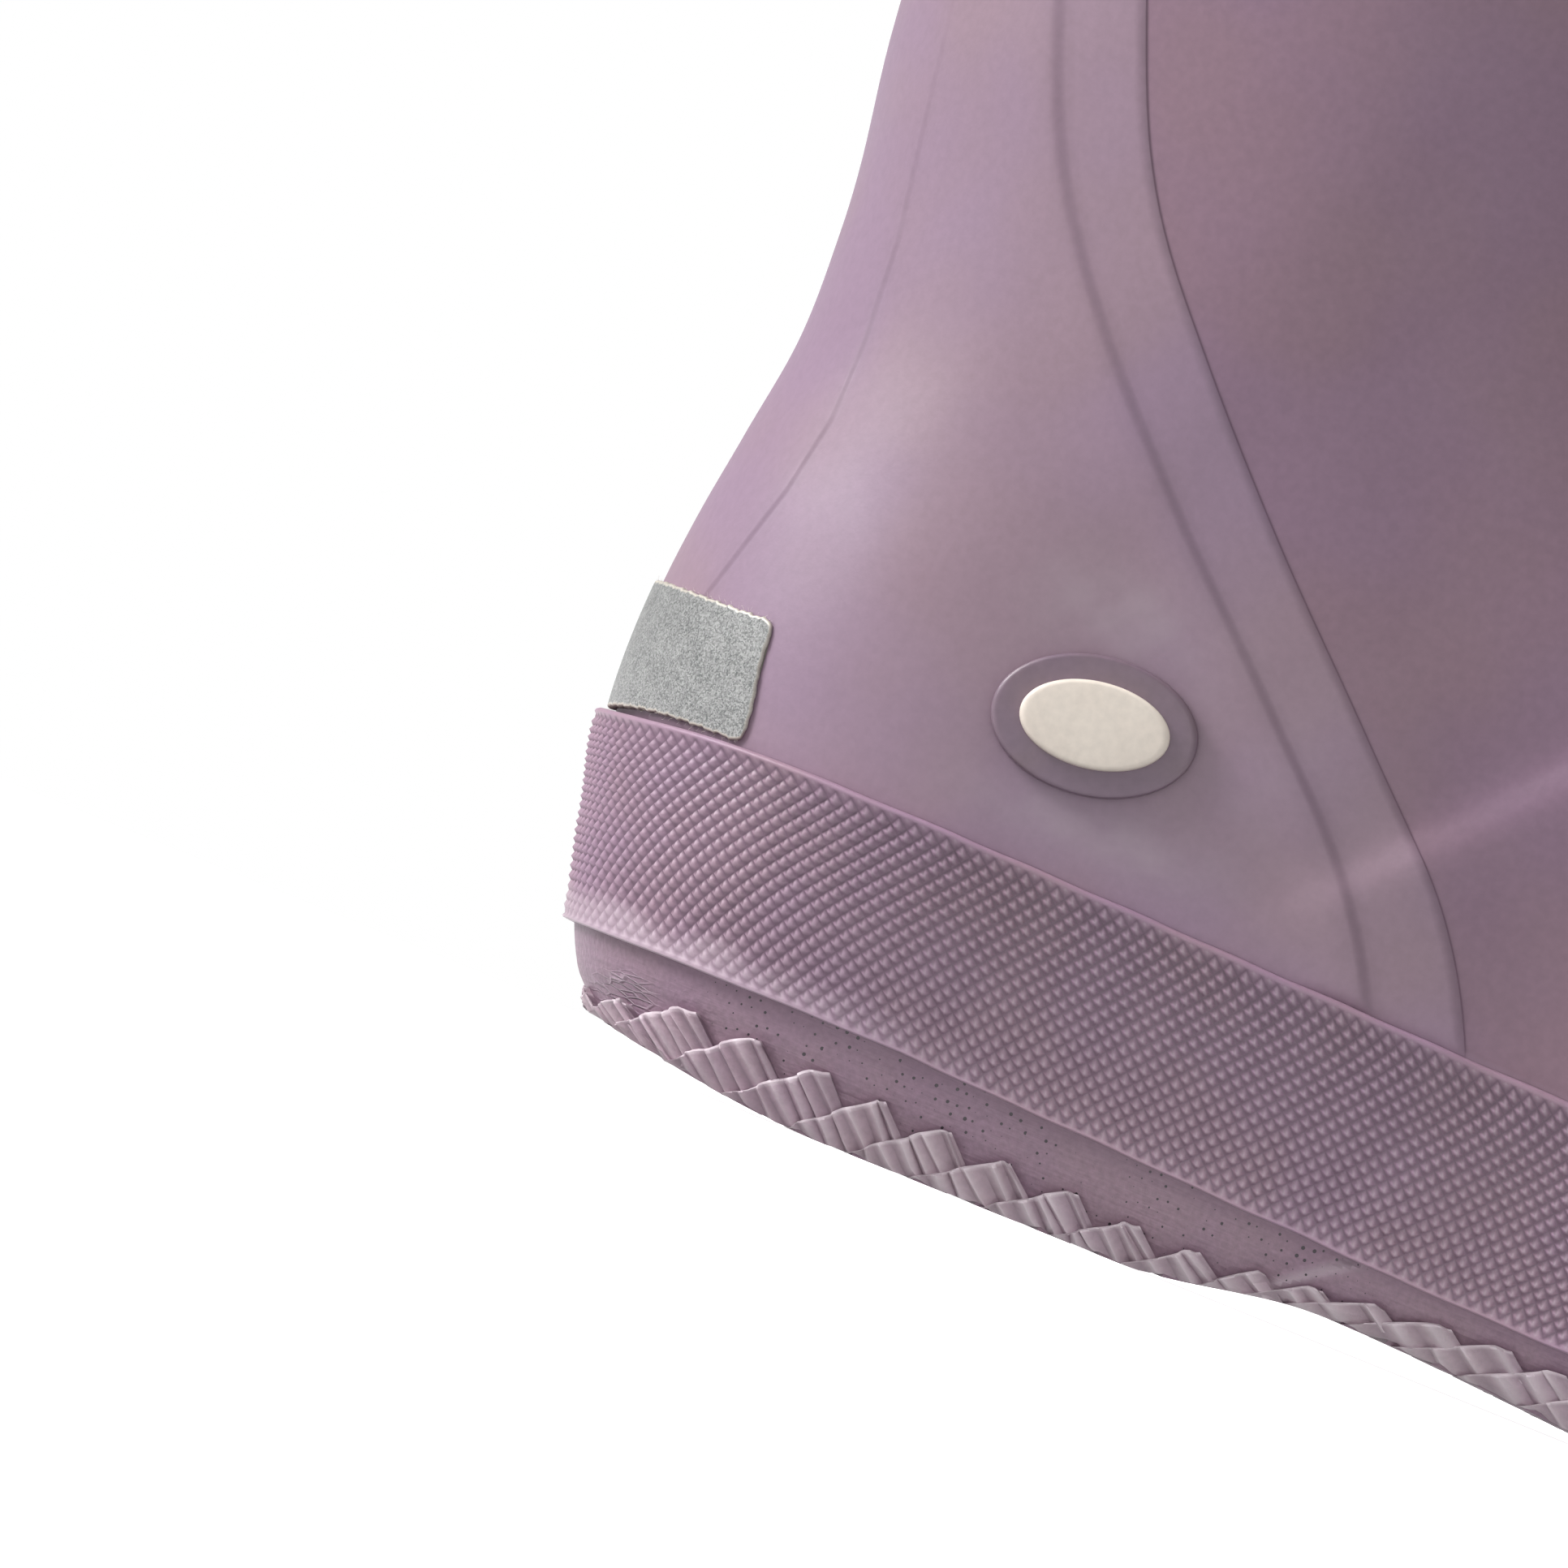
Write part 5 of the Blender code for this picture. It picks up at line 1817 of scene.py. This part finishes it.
@dataclass
class HeelReflector:
    """Reflective fabric patch glued round the back of the heel, with rough cut edges and loose fibres."""

    foot: float = 28.15
    top: float = 38.6
    half: float = 24.0
    dip: float = 0.75  # how much lower its lower edge lies at the back line, and how far round that reaches
    dip_reach: float = 18.0
    droop: float = 0.5  # how much lower its top edge lies at its ends
    corner: float = 0.9
    under: float = 0.1
    over: float = 0.85
    thin: float = 0.4  # how much closer its ends lie to the boot
    rim: float = 0.15  # how far its rim is rounded down
    fray: float = 0.05  # how uneven its cut edges are
    end_wave: float = 0.22  # how wavy its ends are cut, and how far in that reaches
    end_reach: float = 5.0
    edge_pale: float = 0.9  # how much of the backing shows along its edges, and at its ends
    end_pale: float = 0.6
    columns: int = 260
    fibres: int = 120
    fibre_length: float = 0.45
    fibre_width: float = 0.05
    fibre_spread: float = 0.98  # share of the patch's half length that has fibres
    fibre_curl: float = 0.8  # how far a fibre bends aside, as a share of its length
    fibre_sunk: float = 0.25  # how far below the patch's face it starts, and how far it rises
    fibre_rise: float = 0.2
    fibre_taper: float = 0.6

    TURN = np.linspace(-1.3, 1.3, 521)  # angles round the heel, further than the patch goes
    # Rows across the patch, as shares of its height; the cream rim lies between the first and last few.
    SHARES = (0.012, 0.028, *(round(0.05 + 0.045 * i, 3) for i in range(21)), 0.972, 0.988)

    def spots(self, reach: Any, share: Any, lift: Any) -> np.ndarray:
        """Points of the patch.

        Args:
            reach: lengths from the back line, towards the inner side.
            share: shares of its height, from its lower edge.
            lift: distances off the skin.

        Returns:
            One point for each.
        """
        reach, share, lift = np.broadcast_arrays(reach, share, lift)
        spare = np.clip(np.abs(reach) - self.half + self.corner, 0.0, self.corner)
        cut = self.corner - np.sqrt(self.corner**2 - spare**2)
        frayed = self.fray * np.sin(7.1 * reach)
        frayed = frayed + self.fray * np.sin(13.7 * reach + 1.0) * np.sin(2.3 * reach)
        frayed = frayed + self.fray * np.sin(31.0 * reach + 2.0)
        foot = self.foot - self.dip * ease(1 - np.abs(reach) / self.dip_reach)
        top = self.top - self.droop * ease(np.abs(reach) / self.half)
        level = foot + cut + share * (top - foot - 2 * cut) + frayed * (2 * share - 1)
        lift = lift - self.thin * ease(np.abs(reach) / self.half) * (lift > self.under)
        end = ease((np.abs(reach) - self.half + self.end_reach) / self.end_reach)
        wave = self.end_wave * np.sin(5.2 * share + 0.6) + self.fray * np.sin(37.0 * share)
        lengths = arc_lengths(LAST.skin((self.foot + self.top) / 2, self.TURN))
        middle = np.interp(0.0, self.TURN, lengths)
        angle = np.interp(middle - reach - np.sign(reach) * end * wave, lengths, self.TURN)
        return LAST.offset(level, angle, lift)

    def fibre(self, index: int) -> Piece:
        """One loose thread end on the upper or the lower edge, curling off the patch.

        Args:
            index: its number, which sets its place and its length.

        Returns:
            The thread end, closed.
        """
        upper = index % 2
        run = np.linspace(0, 1, 5)
        length = self.fibre_length * (0.6 + 0.4 * math.sin(index * 5.7))
        reach = self.fibre_spread * self.half * math.sin(index * 2.399)
        reach = reach + self.fibre_curl * self.fibre_length * math.sin(index * 3.3) * run**1.5
        share = upper + (1 if upper else -1) * length / (self.top - self.foot) * run
        line = self.spots(reach, share, self.over - self.fibre_sunk + self.fibre_rise * run)
        turns = np.linspace(0, 2 * math.pi, 5)
        circle = np.stack([np.zeros(5), np.cos(turns), np.sin(turns)], axis=1)
        thick = np.concatenate([[0.0], self.fibre_width / 2 * (1 - self.fibre_taper * run), [0.0]])
        line = np.concatenate([line[:1], line, line[-1:]])
        grid = line[:, None, :] + thick[:, None, None] * circle
        return sheet("fibre", grid, {"edge": np.ones(grid.shape[:2])})

    def build(self) -> Piece:
        """Lay it out with its loose fibres, dress it and settle it.

        Returns:
            The patch.
        """
        face = [(share, self.over) for share in self.SHARES]
        side = self.over - self.rim
        path = [(0.0, self.under), (0.0, side), *face, (1.0, side), (1.0, self.under)]
        path = [(0.5, self.under), *path, (0.5, self.under)]
        reaches = np.linspace(-self.half, self.half, self.columns + 1)
        reaches = np.concatenate([reaches[:1], reaches, reaches[-1:]])
        rows = []
        for share, lift in path:
            lifts = np.full(len(reaches), lift)
            lifts[0] = lifts[-1] = self.under
            rows.append(self.spots(reaches, share, lifts))
        edge = np.zeros((len(path), len(reaches)))
        edge[:4] = edge[-4:] = self.edge_pale
        edge[:, :2] = edge[:, -2:] = self.end_pale
        patch = sheet("reflector_patch", np.array(rows), {"edge": edge}, seam=0.001)
        patch = join("reflector_patch", [patch, *(self.fibre(index) for index in range(self.fibres))])
        settle(patch, "heel_reflector", BEADS)
        return patch


@dataclass
class Badge:
    """Oval rubber plate with a plain cream oval set on it."""

    x: float = 38.5
    z: float = 40.0
    tilt: float = math.radians(9.0)
    points: int = 72
    plate_long: float = 8.6
    plate_tall: float = 5.8
    plate_over: float = 1.2
    plate_sunk: float = 0.1
    inlay_long: float = 6.3
    inlay_tall: float = 3.6
    inlay_over: float = 2.0
    inlay_sunk: float = 0.2
    rim: float = 0.4

    # In from the rim: shares of the flat top, and how far it swells at each.
    CROWN = ((0.75, 0.04), (0.4, 0.08), (0.0, 0.1))

    def oval(self, name: str, half_long: float, half_tall: float, under: float, over: float) -> Piece:
        """An oval piece on the skin, with a rounded upper rim.

        Args:
            name: the piece's name.
            half_long: half its length.
            half_tall: half its height.
            under: how far its under face lies off the skin.
            over: how far its upper face lies off the skin.

        Returns:
            The piece.
        """
        path = [(0.0, under), (0.6, under), (1.0, under)]
        for turn in np.linspace(0, math.pi / 2, 6):
            back = self.rim * (1 - math.cos(turn)) / half_tall
            path.append((1.0 - back, over - self.rim + self.rim * math.sin(turn)))
        crown = path[-1][0]
        path += [(crown * share, over + swell) for share, swell in self.CROWN]
        turns = np.linspace(0, 2 * math.pi, self.points + 1)
        rings = []
        for share, lift in path:
            along = share * half_long * np.cos(turns)
            rise = share * half_tall * np.sin(turns)
            x = self.x + along * math.cos(self.tilt) - rise * math.sin(self.tilt)
            z = self.z + along * math.sin(self.tilt) + rise * math.cos(self.tilt)
            level, angle = LAST.place(x, z)
            rings.append(LAST.offset(level, angle, lift))
        return sheet(name, np.array(rings))

    def build(self) -> list[Piece]:
        """Model the plate and the inlay, dress and settle them.

        Returns:
            The plate and the inlay.
        """
        plate = self.oval("oval_plate", self.plate_long, self.plate_tall, -self.plate_sunk, self.plate_over)
        foot = self.plate_over - self.inlay_sunk
        inlay = self.oval("oval_inlay", self.inlay_long, self.inlay_tall, foot, self.inlay_over)
        settle(plate, "badge_plate", PLATE_RUBBER)
        settle(inlay, "badge_inlay", CREAM_RUBBER)
        return [plate, inlay]


@dataclass
class Studio:
    """Pale floor, soft lights and the camera close to the floor at the heel's outer side."""

    roll: float = math.radians(22.0)
    distance: float = 0.9
    height: float = 0.003
    scale: float = 15.0  # pixels to the mm at the boot
    target: tuple[float, float, float] = (-0.0747, -0.024, 0.0262)
    sensor: float = 36.0
    floor_mm: float = 150.0  # size of the floor's faint clouds
    floor_glow: float = 0.85  # it is lit from beneath, like a packshot table
    light_below: float = 0.34  # what the white table throws back
    light_above: float = 0.6

    # Each light's name, place, aim, size, spread in degrees and power.
    LIGHTS = (
        ("key", (-1.06, -0.13, 0.62), (-0.08, 0.0, 0.05), (0.9, 0.9), 35.0, 3.15),
        ("fill", (0.0, -1.1, 0.10), (0.0, 0.0, 0.05), (0.9, 0.4), 60.0, 0.2),
        ("card", (0.02, -0.14, 0.006), (0.02, 0.0, 0.002), (0.3, 0.012), 30.0, 0.009),
    )

    def build(self) -> None:
        """Set up the floor, the lights, the world and the camera."""
        self.floor()
        self.lights()
        self.world()
        self.camera()
        bpy.context.scene.view_settings.view_transform = "Standard"

    def floor(self) -> None:
        """Large plain pale floor at the boot's feet."""
        deselect()
        bpy.ops.mesh.primitive_plane_add(size=8.0, location=(0.0, 0.0, 0.0))
        floor = bpy.context.object
        floor.name = "floor"
        material, tree, shader = new_material("pale_matt_painted_floor")
        place = add_node(tree, "TexCoord").outputs["Object"]
        cloud = add_node(tree, "TexNoise", {"Vector": place, "Scale": per_mm(self.floor_mm), "Detail": 2.0})
        tone = add_node(
            tree, "Mix", {MIX_FACTOR: cloud, MIX_A: srgb("#F4F3F2"), MIX_B: srgb("#F8F8F8")}, data_type="RGBA"
        )
        feed(shader, {"Base Color": tone, "Roughness": 0.8, "Specular IOR Level": 0.1})
        feed(shader, {"Emission Color": srgb("#FFFFFF"), "Emission Strength": self.floor_glow})
        floor.data.materials.append(material)
        floor.visible_diffuse = False  # the light that it throws back is the world's lower half

    def lights(self) -> None:
        """Soft key high behind the heel, a weak fill by the camera and a low card for the sole's side."""
        for name, place, at, size, spread, power in self.LIGHTS:
            light = bpy.data.lights.new(name, "AREA")
            light.shape = "RECTANGLE"
            light.size, light.size_y = size
            light.spread = math.radians(spread)
            light.energy = power
            lamp = bpy.data.objects.new(name, light)
            lamp.location = place
            lamp.rotation_euler = (Vector(at) - lamp.location).to_track_quat("-Z", "Y").to_euler()
            bpy.context.scene.collection.objects.link(lamp)

    def world(self) -> None:
        """White surroundings, dimmer as a light than they look, and brighter from above than from below."""
        world = bpy.data.worlds.new("white_room")
        world.use_nodes = True
        bpy.context.scene.world = world
        tree = world.node_tree
        place = add_node(tree, "TexCoord").outputs["Generated"]
        where = add_node(tree, "SeparateXYZ", {"Vector": place})
        light = add_node(
            tree, "MapRange",
            {"Value": where.outputs["Z"], "From Min": -0.3, "From Max": 0.3,
             "To Min": self.light_below, "To Max": self.light_above},
        )
        seen = add_node(tree, "LightPath").outputs["Is Camera Ray"]
        power = add_node(tree, "MapRange", {"Value": seen, "To Min": light, "To Max": 1.0})
        feed(tree.nodes["Background"], {"Color": srgb("#FFFFFF"), "Strength": power})

    def camera(self) -> None:
        """Camera level with the sole, rolled so that the toe points down to the right."""
        target = Vector(self.target)
        tilt = math.asin((target.z - self.height) / self.distance)
        ahead = Vector((0.0, math.cos(tilt), math.sin(tilt)))
        flat = Vector((1.0, 0.0, 0.0))
        rise = flat.cross(ahead)
        right = flat * math.cos(self.roll) + rise * math.sin(self.roll)
        up = rise * math.cos(self.roll) - flat * math.sin(self.roll)
        lens = bpy.data.cameras.new("camera")
        lens.sensor_width = self.sensor
        lens.lens = self.sensor * self.distance / (IMAGE_SIDE / self.scale * MM)
        lens.clip_start = 0.01
        camera = bpy.data.objects.new("camera", lens)
        camera.matrix_world = Matrix.Translation(target - ahead * self.distance) @ Matrix(
            (right, up, -ahead)
        ).transposed().to_4x4()
        bpy.context.scene.collection.objects.link(camera)
        bpy.context.scene.camera = camera


def main() -> None:
    """Build the boot piece by piece, then the studio round it."""
    logging.basicConfig(level=logging.INFO, format="%(name)s: %(message)s")
    Upper().build()
    Foxing().build()
    Outsole().build()
    Insole().build()
    HeelReflector().build()
    Badge().build()
    Studio().build()


if __name__ == "__main__":
    main()
